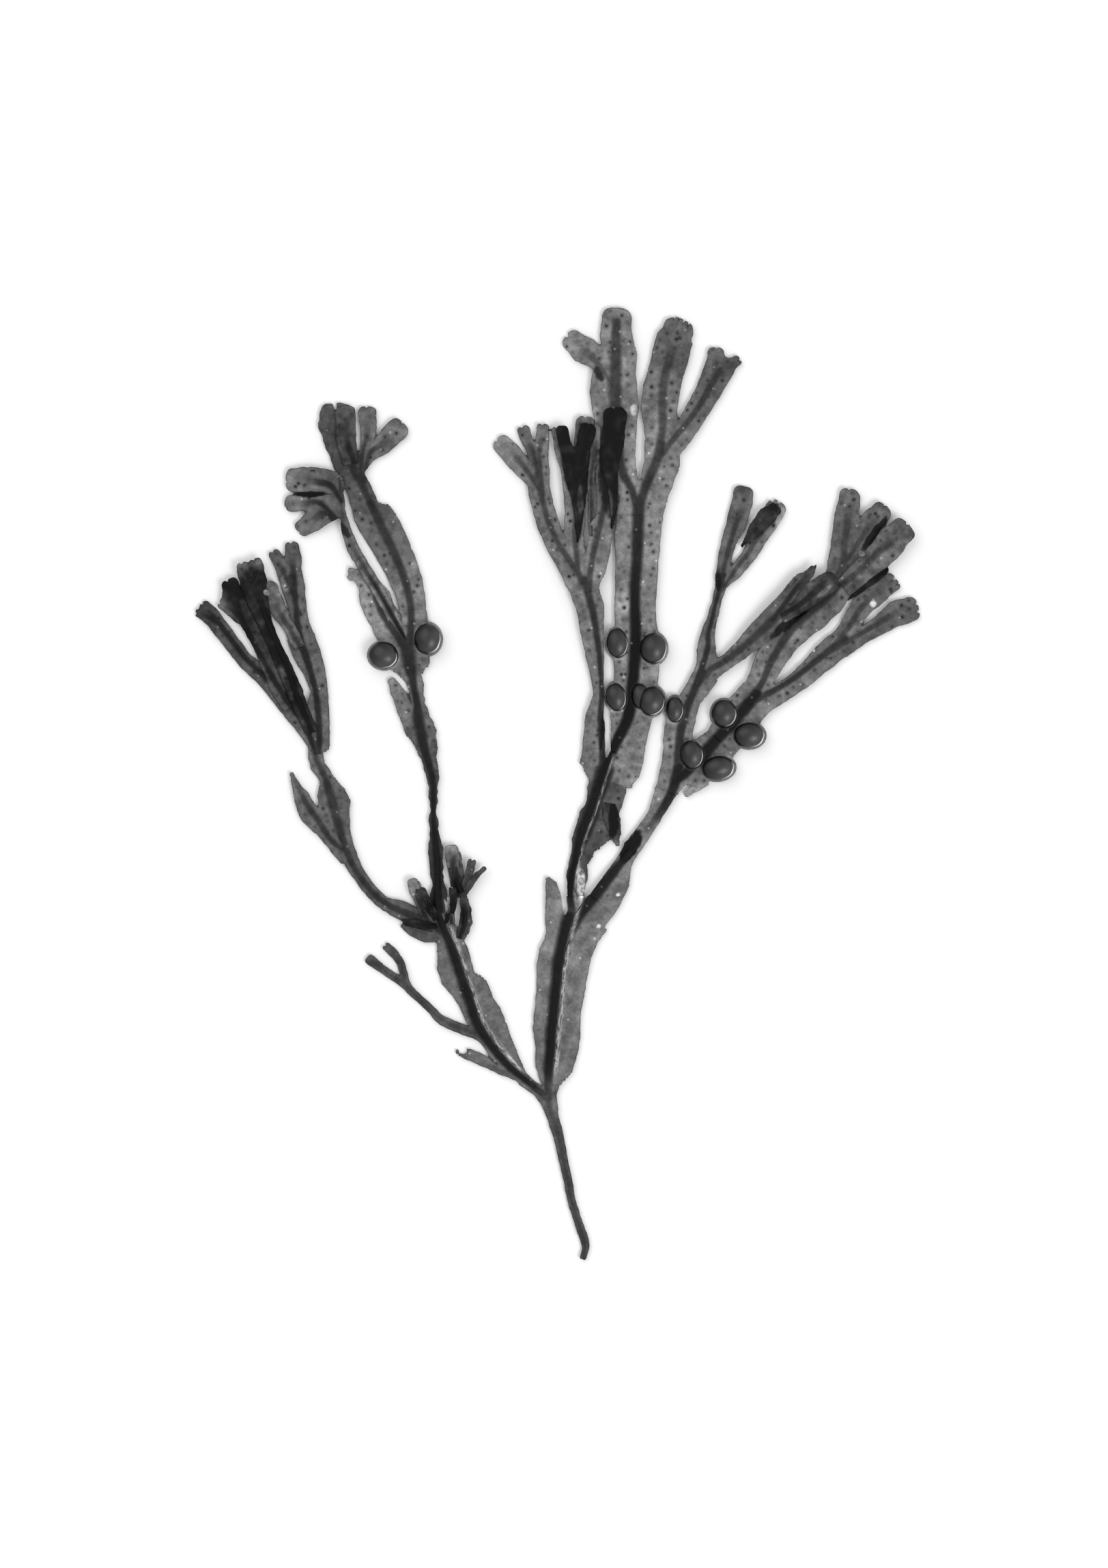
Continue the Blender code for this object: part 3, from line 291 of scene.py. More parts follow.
    "curl_top": {"parent": "curled_arm", "under": (2.2, 0.6), "tone": (0.56, 0.28), "rib": 1.3, "rows": [
        (503, 722, 8, 10), (485, 712, 12, 22), (463, 706, 16, 21), (444, 704, 18, 20),
        (436, 704, 17, 18)]},
    "curl_middle": {"parent": "curled_arm", "under": (2.2, 0.4), "tone": (0.5, 0.28), "rib": 1.3,
        "notches": [(0.5, 0.9, 0.5)], "rows": [(503, 738, 9, 12), (470, 738, 10, 14), (446, 738, 11, 14),
        (430, 738, 12, 13)]},
    "curl_low": {"parent": "curled_arm", "under": (2.2, 0.2), "tone": (0.5, 0.3), "rib": 1.3, "rows": [
        (503, 742, 12, 12), (479, 753, 14, 17), (459, 763, 16, 16), (447, 771, 13, 13)]},
    "broad_blade": {"parent": "crown_up", "under": (0, 0.2), "tone": (0.14, 0.54), "rows": [
        (598, 960, 8, 26), (600, 940, 10, 26), (602, 918, 13, 26), (602, 893, 17, 22), (598, 867, 20, 24),
        (590, 841, 23, 26), (580, 815, 26, 26), (568, 790, 28, 28), (556, 765, 32, 27),
        (549, 750, 32, 23), (544, 740, 30, 11), (534, 718, 25, 11), (523, 698, 22, 12),
        (516, 680, 24, 17)]},
    "broad_tip_1": {"parent": "broad_blade", "under": (0.2, 0), "tone": (0.66, 0.5), "ragged": 0.25,
        "notches": [(0.0, 1.8, 0.6)], "rows": [(512, 686, 20, 14), (504, 664, 22, 17), (498, 642, 25, 20),
        (493, 622, 26, 24), (492, 613, 23, 23)]},
    "broad_tip_2": {"parent": "broad_blade", "under": (0.4, 0.5), "tone": (0.68, 0.52),
        "notches": [], "rows": [(514, 680, 12, 12), (508, 645, 15, 14), (506, 610, 15, 16)]},
    "broad_tip_3": {"parent": "broad_blade", "under": (0.2, 0), "tone": (0.54, 0.34), "rows": [
        (520, 688, 10, 14), (531, 664, 5, 10), (538, 638, 10, 12), (538, 608, 13, 14)]},
    "broad_tip_4": {"parent": "broad_blade", "under": (0.4, 0.2), "tone": (0.52, 0.3), "rows": [
        (524, 688, 8, 10), (541, 666, 8, 11), (560, 651, 14, 15), (580, 632, 17, 16)]},
    # Right forks and fans
    "slim_blade": {"parent": "right_arm", "under": (0.3, 0.6), "tone": (0.24, 0.26),
        "ribWidth": 1.2, "rows": [(991, 1140, 25, 14), (993, 1120, 24, 16), (994, 1098, 23, 18),
        (997, 1070, 24, 18), (1003, 1046, 24, 17), (1011, 1024, 16, 16), (1020, 1003, 14, 22),
        (1030, 985, 14, 24)]},
    "slim_arm": {"parent": "slim_blade", "under": (0.6, 0.2), "tone": (0.3, 0.5), "rows": [
        (1030, 990, 12, 18), (1035, 955, 15, 14), (1037, 930, 11, 10), (1043, 905, 7, 8),
        (1049, 880, 6, 7), (1055, 860, 8, 9), (1060, 842, 12, 14)]},
    "slim_tip_left": {"parent": "slim_arm", "under": (0.2, 0), "tone": (0.4, 0.42), "rib": 0.75,
        "notches": [], "rows": [(1058, 850, 9, 10), (1063, 820, 12, 8), (1069, 796, 13, 9),
        (1077, 770, 14, 15), (1085, 748, 17, 14), (1089, 727, 16, 14)]},
    "slim_tip_right": {"parent": "slim_arm", "under": (0.2, 0), "tone": (0.36, 0.26), "rib": 0.75,
        "notches": [(0.1, 1.8, 0.5)], "rows": [(1059, 852, 8, 10), (1078, 833, 8, 12), (1095, 811, 8, 14),
        (1109, 789, 12, 14), (1124, 767, 18, 14), (1136, 749, 17, 13)]},
    # the folded tip lies doubled: its dark tone is painted shade
    "slim_tip_fold": {"under": (0.8, 1.4), "tone": (0.8, 0.82), "rib": 0.3, "notches": [], "rows": [
        (1085, 801, 1, 1), (1096, 788, 6, 6), (1108, 775, 12, 11), (1124, 757, 15, 12),
        (1132, 749, 11, 10)]},
    "dark_arm": {"parent": "slim_blade", "under": (0.6, 3.0), "tone": (0.34, 0.42), "rib": 0.72,
        "ribWidth": 1.3, "rows": [(1027, 994, 10, 12), (1042, 980, 9, 16), (1062, 968, 9, 14),
        (1086, 950, 13, 14), (1111, 928, 18, 18), (1136, 904, 20, 20), (1150, 888, 18, 16)]},
    "dark_tip_left": {"parent": "dark_arm", "under": (2.8, 2.8), "tone": (0.42, 0.58),
        "ragged": 0.16, "rows": [(1140, 902, 14, 10), (1158, 872, 14, 10), (1172, 854, 13, 9),
        (1184, 840, 7, 7), (1190, 831, 4, 4)]},
    "dark_tip_right": {"parent": "dark_arm", "under": (3.0, 3.6), "tone": (0.66, 0.62), "rows": [
        (1142, 900, 8, 14), (1166, 889, 9, 12), (1190, 870, 18, 16), (1212, 856, 17, 14)]},
    "heel": {"parent": "right_arm", "under": (0.3, 0.6), "tone": (0.36, 0.26), "rib": 1.28,
        "ribWidth": 1.3, "rows": [(991, 1142, 20, 10), (1010, 1126, 16, 31), (1030, 1104, 24, 40),
        (1050, 1082, 18, 35), (1070, 1060, 24, 34), (1090, 1038, 27, 32), (1108, 1016, 25, 27)]},
    "upper_blade": {"parent": "heel", "under": (0.6, 1.0), "tone": (0.16, 0.4), "rib": 0.88, "rows": [
        (1100, 1026, 22, 20), (1114, 1003, 22, 14), (1127, 974, 24, 19), (1143, 945, 26, 22),
        (1163, 918, 26, 27), (1188, 895, 26, 30), (1212, 875, 28, 27), (1230, 854, 26, 22)]},
    "upper_tip_1": {"parent": "upper_blade", "under": (1.0, 0.6), "tone": (0.38, 0.42),
        "rib": 0.62, "rows": [(1228, 862, 20, 18), (1233, 830, 22, 20), (1236, 804, 20, 18),
        (1239, 779, 20, 17), (1242, 757, 21, 17), (1245, 732, 17, 14)]},
    "upper_tip_2": {"parent": "upper_blade", "under": (1.0, 1.0), "tone": (0.4, 0.42),
        "rib": 0.62, "rows": [(1234, 850, 12, 14), (1246, 812, 12, 14), (1264, 784, 16, 18),
        (1279, 762, 19, 20), (1286, 753, 15, 17)]},
    "upper_tip_3": {"parent": "upper_blade", "under": (1.4, 2.8), "tone": (0.42, 0.46), "rib": 0.62,
        "notches": [(0.1, 0.8, 0.6)], "rows": [(1232, 860, 12, 18), (1260, 834, 14, 20),
        (1283, 812, 16, 25), (1301, 794, 20, 25), (1314, 781, 18, 22)]},
    "lower_blade": {"parent": "heel", "under": (0.6, 0), "tone": (0.26, 0.42), "rib": 0.88, "rows": [
        (1098, 1034, 8, 24), (1122, 1017, 9, 24), (1146, 1004, 7, 22), (1170, 988, 9, 22),
        (1195, 968, 14, 22), (1218, 950, 18, 22), (1238, 935, 17, 20)]},
    "lower_tip_1": {"parent": "lower_blade", "tone": (0.34, 0.42), "rib": 0.62, "ragged": 0.16,
        "notches": [(-0.5, 1.1, 0.5), (0.1, 1.3, 0.5)], "rows": [(1230, 944, 16, 14), (1242, 920, 14, 14),
        (1255, 899, 15, 15), (1270, 880, 17, 17), (1288, 864, 18, 17), (1300, 856, 15, 15)]},
    "lower_tip_2": {"parent": "lower_blade", "tone": (0.38, 0.44), "rib": 0.62, "ragged": 0.12,
        "notches": [(-0.35, 1.4, 0.5), (0.3, 1.6, 0.5)], "rows": [(1230, 944, 12, 20), (1264, 926, 9, 16),
        (1290, 911, 12, 17), (1312, 898, 18, 20), (1328, 893, 17, 19)]},
    # the folded tip lies doubled: its dark tone is painted shade
    "lower_tip_fold": {"under": (0.4, 0.4), "tone": (0.88, 0.9), "rib": 0.0, "notches": [], "rows": [
        (1240, 880, 1, 1), (1258, 862, 8, 7), (1275, 845, 12, 12), (1288, 834, 11, 12)]},
    # Small blades that are too thin to be solids of their own
    "leaflet": {"under": (1.4, 1.8), "tone": (0.8, 0.7), "rows": [(676, 1306, 4, 4), (668, 1286, 7, 7),
        (664, 1274, 6, 6)]},
    "low_leaf": {"under": (1.6, 1.2), "tone": (0.86, 0.8), "rows": [(640, 1356, 4, 4), (614, 1353, 6, 6),
        (592, 1350, 4, 4)]},
    "peel": {"under": (0.1, 0.1), "tone": (0.1, 0.0), "rib": 0.0, "notches": [], "rows": [
        (1036, 1146, 3, 3), (1020, 1154, 5, 6), (1007, 1162, 4, 5)]},
    "pale_leaf_1": {"under": (0.9, 1.2), "tone": (0.5, 0.16), "notches": [], "rows": [(664, 1298, 4, 4),
        (664, 1276, 8, 8), (663, 1256, 11, 11), (662, 1247, 10, 10)]},
    "pale_leaf_2": {"under": (0.9, 1.4), "tone": (0.5, 0.22), "notches": [], "rows": [(625, 1348, 4, 4),
        (616, 1325, 7, 7), (608, 1303, 9, 9), (605, 1294, 8, 8)]},
    "pale_leaf_3": {"under": (0.8, 0.8), "tone": (0.2, 0.1), "notches": [], "rows": [(662, 1352, 5, 5),
        (659, 1334, 7, 7), (657, 1318, 6, 6)]},
}
blades = {name: {**plainBlade, **blade} for name, blade in blades.items()}
parentNames = {blade["parent"] for blade in blades.values()}
print("rows read:", sum(len(blade["rows"]) for blade in blades.values()), "in", len(blades), "blades")

# Patches of skin: x, y, half width and half length in pixels, lean in degrees, change of tone
# (above 0 is darker, painted shade where the skin folds or lies doubled; below 0 is paler skin)
# and the layer that it is on
foldShadeAndPalePatches = [
    (928, 600, 5, 9, 0, -0.55, 0), (914, 883, 9, 15, 0, -0.16, 0), (850, 1290, 7, 24, 5, -0.9, 0),
    (420, 852, 9, 13, 0, -0.3, 0), (1279, 884, 5, 5, 0, -0.8, 0), (1300, 809, 5, 5, 0, -0.7, 0),
    (877, 548, 6, 12, 25, 0.5, 0), (1158, 909, 8, 38, -50, 0.5, 0), (924, 1240, 11, 26, -30, 0.85, 0),
    (905, 1310, 3, 3, 0, -0.9, 0), (877, 1356, 3, 3, 0, -0.9, 0), (898, 1203, 7, 24, 0, 0.5, 1),
    (884, 1058, 4, 42, -6, 0.5, 0), (1280, 782, 6, 30, -38, 0.5, 0), (505, 624, 6, 24, 0, 0.45, 0),
    (452, 724, 24, 4, 0, 0.8, 0), (1143, 757, 6, 15, -20, -0.28, 0), (1052, 850, 4, 16, 0, 0.45, 0),
    (1192, 953, 2, 2, 0, -0.9, 0), (890, 700, 14, 60, 4, 0.4, 0), (850, 732, 5, 20, 0, -0.32, 2),
    (893, 735, 5, 22, 4, -0.32, 3), (862, 672, 3, 14, 0, -0.3, 2), (1205, 868, 4, 14, -50, -0.3, 1),
    (420, 1000, 5, 26, 20, -0.2, 3),
]


def toMillimetres(x, y):
    scale = photo["mmPerPixel"]
    return np.array([(x - photo["originX"]) * scale, (photo["originY"] - y) * scale])


def between(pair, share):
    return pair[0] + (pair[1] - pair[0]) * share


def ease(value, low, high):
    share = np.clip((value - low) / (high - low), 0, 1)
    return share * share * (3 - 2 * share)


def smoothNoise(x, y, size, seed):
    # value noise on a seeded lattice, from -1 to 1, with features about size across
    lattice = 64
    table = np.random.default_rng(seed).uniform(-1, 1, (lattice, lattice))
    gx, gy = x / size, y / size
    ix, iy = np.floor(gx).astype(int), np.floor(gy).astype(int)
    fx, fy = gx - ix, gy - iy
    fx, fy = fx * fx * (3 - 2 * fx), fy * fy * (3 - 2 * fy)
    corner = lambda dx, dy: table[(ix + dx) % lattice, (iy + dy) % lattice]
    low = corner(0, 0) * (1 - fx) + corner(1, 0) * fx
    high = corner(0, 1) * (1 - fx) + corner(1, 1) * fx
    return low * (1 - fy) + high * fy


def layeredNoise(x, y, waves, seed):
    # noise of several sizes, each with its own strength and seed
    return sum(strength * smoothNoise(x, y, size, seed + i) for i, (size, strength) in enumerate(waves))


def turnedOffset(x, y, pixelX, pixelY, lean):
    # where points lie from a centre, along two axes that lean by some degrees
    centre = toMillimetres(pixelX, pixelY)
    turn = math.radians(lean)
    dx, dy = x - centre[0], y - centre[1]
    return dx * math.cos(turn) + dy * math.sin(turn), dy * math.cos(turn) - dx * math.sin(turn)


def curveThrough(points):
    # samples of a smooth curve through the rows, and how many rows along each sample is; places
    # follow a Catmull-Rom curve, and the values after them change evenly from row to row
    padded = np.vstack([2 * points[0] - points[1], points, 2 * points[-1] - points[-2]])
    samples, rowAt = [], []
    for i in range(len(points) - 1):
        p0, p1, p2, p3 = padded[i:i + 4]
        steps = max(3, int(np.linalg.norm(p2[:2] - p1[:2]) / growth["sampleStep"]))
        t = np.arange(steps)[:, None] / steps
        curve = 0.5 * (2 * p1 + (p2 - p0) * t + (2 * p0 - 5 * p1 + 4 * p2 - p3) * t ** 2
                       + (3 * p1 - p0 - 3 * p2 + p3) * t ** 3)
        curve[:, 2:] = p1[2:] + (p2[2:] - p1[2:]) * t
        samples.append(curve)
        rowAt.append(i + t[:, 0])
    return np.vstack(samples + [points[-1:]]), np.concatenate(rowAt + [[len(points) - 1]])


def distanceAlong(path):
    return np.concatenate([[0], np.cumsum(np.linalg.norm(np.diff(path, axis=0), axis=1))])


def besidePath(path, x, y):
    # for every point of the grid, the closest sample of a path and how far ahead of it and to its
    # left the point is
    flatX, flatY = x.ravel(), y.ravel()
    nearest = np.empty(flatX.size, int)
    batch = 20000
    for start in range(0, flatX.size, batch):
        part = slice(start, start + batch)
        gap = (flatX[part, None] - path[None, :, 0]) ** 2 + (flatY[part, None] - path[None, :, 1]) ** 2
        nearest[part] = gap.argmin(1)
    nearest = nearest.reshape(x.shape)
    heading = np.gradient(path, axis=0)
    heading /= np.linalg.norm(heading, axis=1)[:, None]
    dx, dy = x - path[nearest, 0], y - path[nearest, 1]
    along = dx * heading[nearest, 0] + dy * heading[nearest, 1]
    across = dy * heading[nearest, 0] - dx * heading[nearest, 1]
    return nearest, heading, along, across


def ribPath(name):
    # the midrib's own line, which leaves the parent's rib a little below the fork
    rows = np.array([toMillimetres(row[0], row[1]) for row in blades[name]["rows"]])
    parent = blades[name]["parent"]
    if parent is None:
        return curveThrough(rows)[0]
    stem = curveThrough(np.array([toMillimetres(row[0], row[1]) for row in blades[parent]["rows"]]))[0]
    gaps = np.hypot(stem[:, 0] - rows[1, 0], stem[:, 1] - rows[1, 1])
    closest = int(gaps.argmin())
    back = int(1.1 * gaps[closest] / growth["sampleStep"]) + 2
    return curveThrough(np.vstack([stem[max(closest - back, 0)], rows[1:]]))[0]


def ribField(name, reach, x, y):
    # how strongly the midrib shows, and where a point lies across and along it
    blade = blades[name]
    path = ribPath(name)
    nearest, _, along, across = besidePath(path, x, y)
    travelled = distanceAlong(path)
    gone = travelled[nearest] + along
    half = (ribForm["half"] + ribForm["halfPerReach"] * reach) * blade["ribWidth"]
    strength = blade["rib"] * (1 - ribForm["fainterUp"] * ease(y, *ribForm["fainterFrom"]))
    fade = 1.0
    if name not in parentNames:
        fadeLength = min(ribForm["endFade"], 0.55 * travelled[-1])
        fade = ease(travelled[-1] - gone, -0.5, fadeLength)
        half = half * (1 + 0.5 * (1 - fade))
    pastEnd = ((nearest == 0) & (along < 0)) | ((nearest == len(path) - 1) & (along > 0))
    off = np.where(pastEnd, np.hypot(along, across), np.abs(across))
    rib = (1 - ease(off, 0.45 * half, 1.35 * half)) * fade * strength
    if blade["strip"]:
        rib = rib * (0.35 + 0.65 * ease(gone, 1, 12))
    if blade["ribGap"]:
        gapX, gapY, gapReach = blade["ribGap"]
        place = toMillimetres(gapX, gapY)
        rib = rib * (1 - 0.85 * np.exp(-((x - place[0]) ** 2 + (y - place[1]) ** 2) / gapReach ** 2))
    return rib, across, gone


def tipNotches(name, ahead, side, radius):
    # the small cuts in the end of a blade, as a distance that is positive inside them
    notch = np.full_like(ahead, -9.0)
    if name in parentNames:
        return notch
    for share, depth, half in blades[name]["notches"]:
        reach = np.maximum(ahead - (radius - depth), -2)
        notch = np.maximum(notch, half * reach / depth - np.abs(side - share * radius))
    return notch


def bladeField(name, first, last, x, y):
    # signed distance to a blade (negative inside), whole and cut to this piece's stretch of it
    blade, scale = blades[name], photo["mmPerPixel"]
    samples, rowAt = curveThrough(np.array([[*toMillimetres(px, py), toLeft * scale, toRight * scale]
                                            for px, py, toLeft, toRight in blade["rows"]]))
    place = samples[:, :2]
    nearest, heading, along, across = besidePath(place, x, y)
    left, right = samples[nearest, 2], samples[nearest, 3]
    reach = np.where(across > 0, left, right)
    radius = (left + right) / 2
    side = across - (left - right) / 2
    power = growth["tipPower"]
    cap = (np.abs(along) ** power + np.abs(side) ** power) ** (1 / power) - radius
    cap = np.maximum(cap, tipNotches(name, along, side, radius))
    distance = np.where((nearest == len(place) - 1) & (along > 0), cap, np.abs(across) - reach)
    whole = np.where((nearest == 0) & (along < 0), np.maximum(distance, -along), distance)
    cut = whole.copy()
    for row, sign in ((first, -1), (last, 1)):
        if row is not None and (sign > 0 or row > 0):
            at = int(np.abs(rowAt - row).argmin())
            past = (x - place[at, 0]) * heading[at, 0] + (y - place[at, 1]) * heading[at, 1]
            cut = np.maximum(cut, sign * past - growth["overlap"] / 2)
    rib, ribSide, ribAlong = ribField(name, radius, x, y)
    strip = np.zeros_like(whole)
    if blade["strip"]:
        offset, width = blade["strip"]
        strip = np.exp(-((ribSide - offset) / width) ** 2) * ease(ribAlong, 4, 12) * ease(-whole, 0.5, 2)
    travelled = distanceAlong(place)
    share = (travelled / travelled[-1])[nearest]
    return {"whole": whole, "cut": cut, "under": between(blade["under"], share),
            "tone": between(blade["tone"], share), "rib": rib, "ribSide": ribSide, "ribAlong": ribAlong,
            "ribHeight": between(ribForm["heights"], ease(place[nearest, 1], *ribForm["heightsFrom"])),
            "strip": strip, "ragged": np.full_like(whole, blade["ragged"]),
            "lateral": np.clip(np.abs(across) / np.maximum(reach, 0.3), 0, 1.2)}


def meltTogether(distances):
    joined = distances[0].copy()
    blend = growth["blend"]
    for distance in distances[1:]:
        h = np.clip(0.5 + 0.5 * (distance - joined) / blend, 0, 1)
        joined = distance * (1 - h) + joined * h - blend * h * (1 - h)
    return joined


def joinFields(fields):
    # blades of one layer melt together, the deeper one deciding height and tone
    weights = [np.exp(-np.clip(field["whole"], -6, 6) * 1.6) for field in fields]
    total = sum(weights)
    mixed = {key: sum(w * field[key] for w, field in zip(weights, fields)) / total
             for key in ("under", "tone", "ribHeight", "lateral", "ragged")}
    strongest = np.stack([field["rib"] for field in fields]).argmax(0)
    for key in ("rib", "ribSide", "ribAlong"):
        mixed[key] = np.take_along_axis(np.stack([field[key] for field in fields]), strongest[None], 0)[0]
    mixed["strip"] = np.max([field["strip"] for field in fields], axis=0)
    for key in ("whole", "cut"):
        mixed[key] = meltTogether([field[key] for field in fields])
    return mixed


def markedTone(tone, x, y, layer):
    # painted shade darkens a patch where the skin folds or lies doubled, and thin or scarred skin lightens
    # one
    strength = growth["firstLayerMottle"] if layer == 0 else 1.0
    tone = tone + layeredNoise(x, y, growth["toneWaves"], 71) * strength
    for markX, markY, wide, long, lean, amount, onLayer in foldShadeAndPalePatches:
        if onLayer == layer:
            sideways, lengthways = turnedOffset(x, y, markX, markY, lean)
            gap = np.hypot(sideways / wide, lengthways / long) / photo["mmPerPixel"]
            gap = gap + 0.16 * smoothNoise(x, y, 1.2, 90)
            tone += amount * (1 - ease(gap, 0.78, 1.12))
    return tone


def gridAround(stretches):
    # the grid that a layer is shaped on, with room on all sides
    rows = []
    for name, first, last in stretches:
        shape = blades[name]["rows"]
        stop = len(shape) if last is None else last + 1
        rows += [(*toMillimetres(x, y), max(left, right) * photo["mmPerPixel"] + growth["gridRoom"])
                 for x, y, left, right in shape[first:stop]]
    rows = np.array(rows)
    cell = growth["cell"]
    low = np.floor((rows[:, :2] - rows[:, 2:]).min(0) / cell) * cell
    high = (rows[:, :2] + rows[:, 2:]).max(0) + 2 * cell
    return np.meshgrid(np.arange(low[0], high[0], cell), np.arange(low[1], high[1], cell), indexing="ij")


def rimEdges(quads, size):
    # the edges that only one quad has
    edges = np.concatenate([quads[:, [i, (i + 1) % 4]] for i in range(4)])
    key = np.sort(edges, 1)
    code = key[:, 0].astype(np.int64) * size + key[:, 1]
    _, where, counts = np.unique(code, return_index=True, return_counts=True)
    return edges[where[counts == 1]]


def layerSkin(stretches, holes, layer, seed, bladders):
    # one closed sheet: outline, thickness, midrib and gentle waves from the joined fields
    x, y = gridAround(stretches)
    cell, scale = growth["cell"], photo["mmPerPixel"]
    field = joinFields([bladeField(name, first, last, x, y) for name, first, last in stretches])
    margin = growth["marginRagged"] * layeredNoise(x, y, growth["marginWaves"], seed)
    margin += field["ragged"] * layeredNoise(x, y, growth["raggedWaves"], seed + 2)
    whole = field["whole"] + margin
    outline = field["cut"] + margin * (field["cut"] < field["whole"] + 0.02)
    for holeX, holeY, radius in holes:
        centre = toMillimetres(holeX, holeY)
        gap = np.hypot(x - centre[0], y - centre[1]) + 0.35 * smoothNoise(x, y, 1.3, seed + 4)
        outline = np.maximum(outline, radius * scale - gap)
        whole = np.maximum(whole, radius * scale - gap)
    # halo is a painted ring of light on the blade around each bladder, brighter towards the lower right
    halo = np.zeros_like(outline)
    for bladderX, bladderY, halfWidth, halfLength, lean in bladders:
        sideways, lengthways = turnedOffset(x, y, bladderX, bladderY, lean)
        wide, long = halfWidth * scale, halfLength * scale
        ringGap = (np.hypot(sideways / wide, lengthways / long) - 1) * min(wide, long)
        outline = np.minimum(outline, ringGap - growth["bladderRim"])
        whole = np.minimum(whole, ringGap - growth["bladderRim"])
        light = 0.4 + 0.6 * ease(sideways - lengthways, -2, 4)
        halo = np.maximum(halo, np.exp(-((ringGap - 0.3) / 0.28) ** 2) * light)
    near = outline < 0.5 * cell
    kept = near[:-1, :-1] & near[1:, :-1] & near[:-1, 1:] & near[1:, 1:]
    if not kept.any():
        return None
    ids = np.arange(x.size).reshape(x.shape)
    corners = (ids[:-1, :-1], ids[1:, :-1], ids[1:, 1:], ids[:-1, 1:])
    quads = np.stack([corner[kept] for corner in corners], 1)
    rim = rimEdges(quads, x.size)
    onRim = np.zeros(x.size, bool)
    onRim[rim.ravel()] = True
    onRim = onRim.reshape(x.shape)
    # points of the rim slide onto the outline
    gradX, gradY = np.gradient(outline, cell)
    slide = np.clip(outline, -cell, cell) / np.maximum(gradX ** 2 + gradY ** 2, 0.15)
    px = np.where(onRim, x - slide * gradX, x)
    py = np.where(onRim, y - slide * gradY, y)
    inner = np.maximum(-whole, 0)
    thick = between(growth["thickness"], ease(inner, 0, growth["bevel"]))
    curl = growth["marginCurl"] * field["lateral"] ** 2 * (0.5 + 0.5 * smoothNoise(x, y, 7.0, seed + 5))
    wave = curl + layeredNoise(x, y, growth["sheetWaves"], seed + 6)
    flank = np.exp(-((field["lateral"] - 0.45) / 0.3) ** 2) * (1 - field["rib"]) * growth["flankDip"]
    ribRise = field["rib"] * field["ribHeight"]
    middle = field["under"] + growth["lift"] + wave - flank
    top = middle + thick / 2 + ribRise * 0.8
    bottom = np.maximum(middle - thick / 2 - ribRise * 0.2, growth["lowest"])
    top = np.maximum(top, bottom + growth["thinnest"])
    used = np.unique(quads)
    remap = np.full(x.size, -1)
    remap[used] = np.arange(used.size)
    count = used.size
    pick = lambda values: values.ravel()[used]
    points = np.concatenate([np.stack([pick(px), pick(py), pick(side)], 1) for side in (top, bottom)])
    upper, edge = remap[quads], remap[rim]
    walls = np.stack([edge[:, 0], edge[:, 0] + count, edge[:, 1] + count, edge[:, 1]], 1)
    skin = {"points": points, "faces": np.concatenate([upper, upper[:, ::-1] + count, walls]), "material": 0}
    values = {"edge": inner, "tone": markedTone(field["tone"], x, y, layer), "halo": halo}
    values.update({key: field[key] for key in ("rib", "strip", "ribSide", "ribAlong")})
    for key, value in values.items():
        skin[key] = np.tile(pick(value), 2)
    return skin


bladderForm = {
    "around": 56, "rings": 30,
    "depth": 0.74,        # half its thickness, as a share of its smaller half width
    "dents": 0.02, "clearance": 0.02,
}


def bladderSkin(bladder, seed):
    # a gas-filled float: a flattened ball with a slightly uneven skin
    x, y, halfWidth, halfLength, lean = bladder
    scale, around, rings = photo["mmPerPixel"], bladderForm["around"], bladderForm["rings"]
    theta = np.arange(around) * 2 * math.pi / around
    phi = np.linspace(0, math.pi, rings + 1)[1:-1]
    ring = [[math.sin(p) * math.cos(t), math.sin(p) * math.sin(t), math.cos(p)] for p in phi for t in theta]
    unit = np.vstack([ring, [[0, 0, 1], [0, 0, -1]]])
    uneven = smoothNoise(unit[:, 0] * 3 + 9, unit[:, 1] * 3 + unit[:, 2] * 2 + 9, 1.0, seed)
    dent = 1 + bladderForm["dents"] * uneven
    depth = min(halfWidth, halfLength) * scale * bladderForm["depth"]
    wide, long = unit[:, 0] * halfWidth * scale * dent, unit[:, 1] * halfLength * scale * dent
    turn = math.radians(lean)
    centre = toMillimetres(x, y)
    points = np.stack([centre[0] + wide * math.cos(turn) - long * math.sin(turn),
                       centre[1] + wide * math.sin(turn) + long * math.cos(turn),
                       depth * 1.01 + bladderForm["clearance"] + unit[:, 2] * depth], 1)
    faces = []
    caps, last = len(ring), (rings - 2) * around
    for j in range(around):
        k = (j + 1) % around
        for i in range(0, last, around):
            faces.append((i + j, i + around + j, i + around + k, i + k))
        faces.append((caps, j, k, k))
        faces.append((caps + 1, last + k, last + j, last + j))
    # painted shading: the tone is lighter towards the lower right, as if lit from there
    shade = 0.5 + 0.5 * (unit[:, 0] * 0.75 - unit[:, 1] * 0.45)
    return {"points": points, "faces": np.array(faces), "edge": 1 - np.abs(unit[:, 2]),
            "tone": shade, "material": 1}


skinValues = ("rib", "edge", "tone", "halo", "strip", "ribSide", "ribAlong")


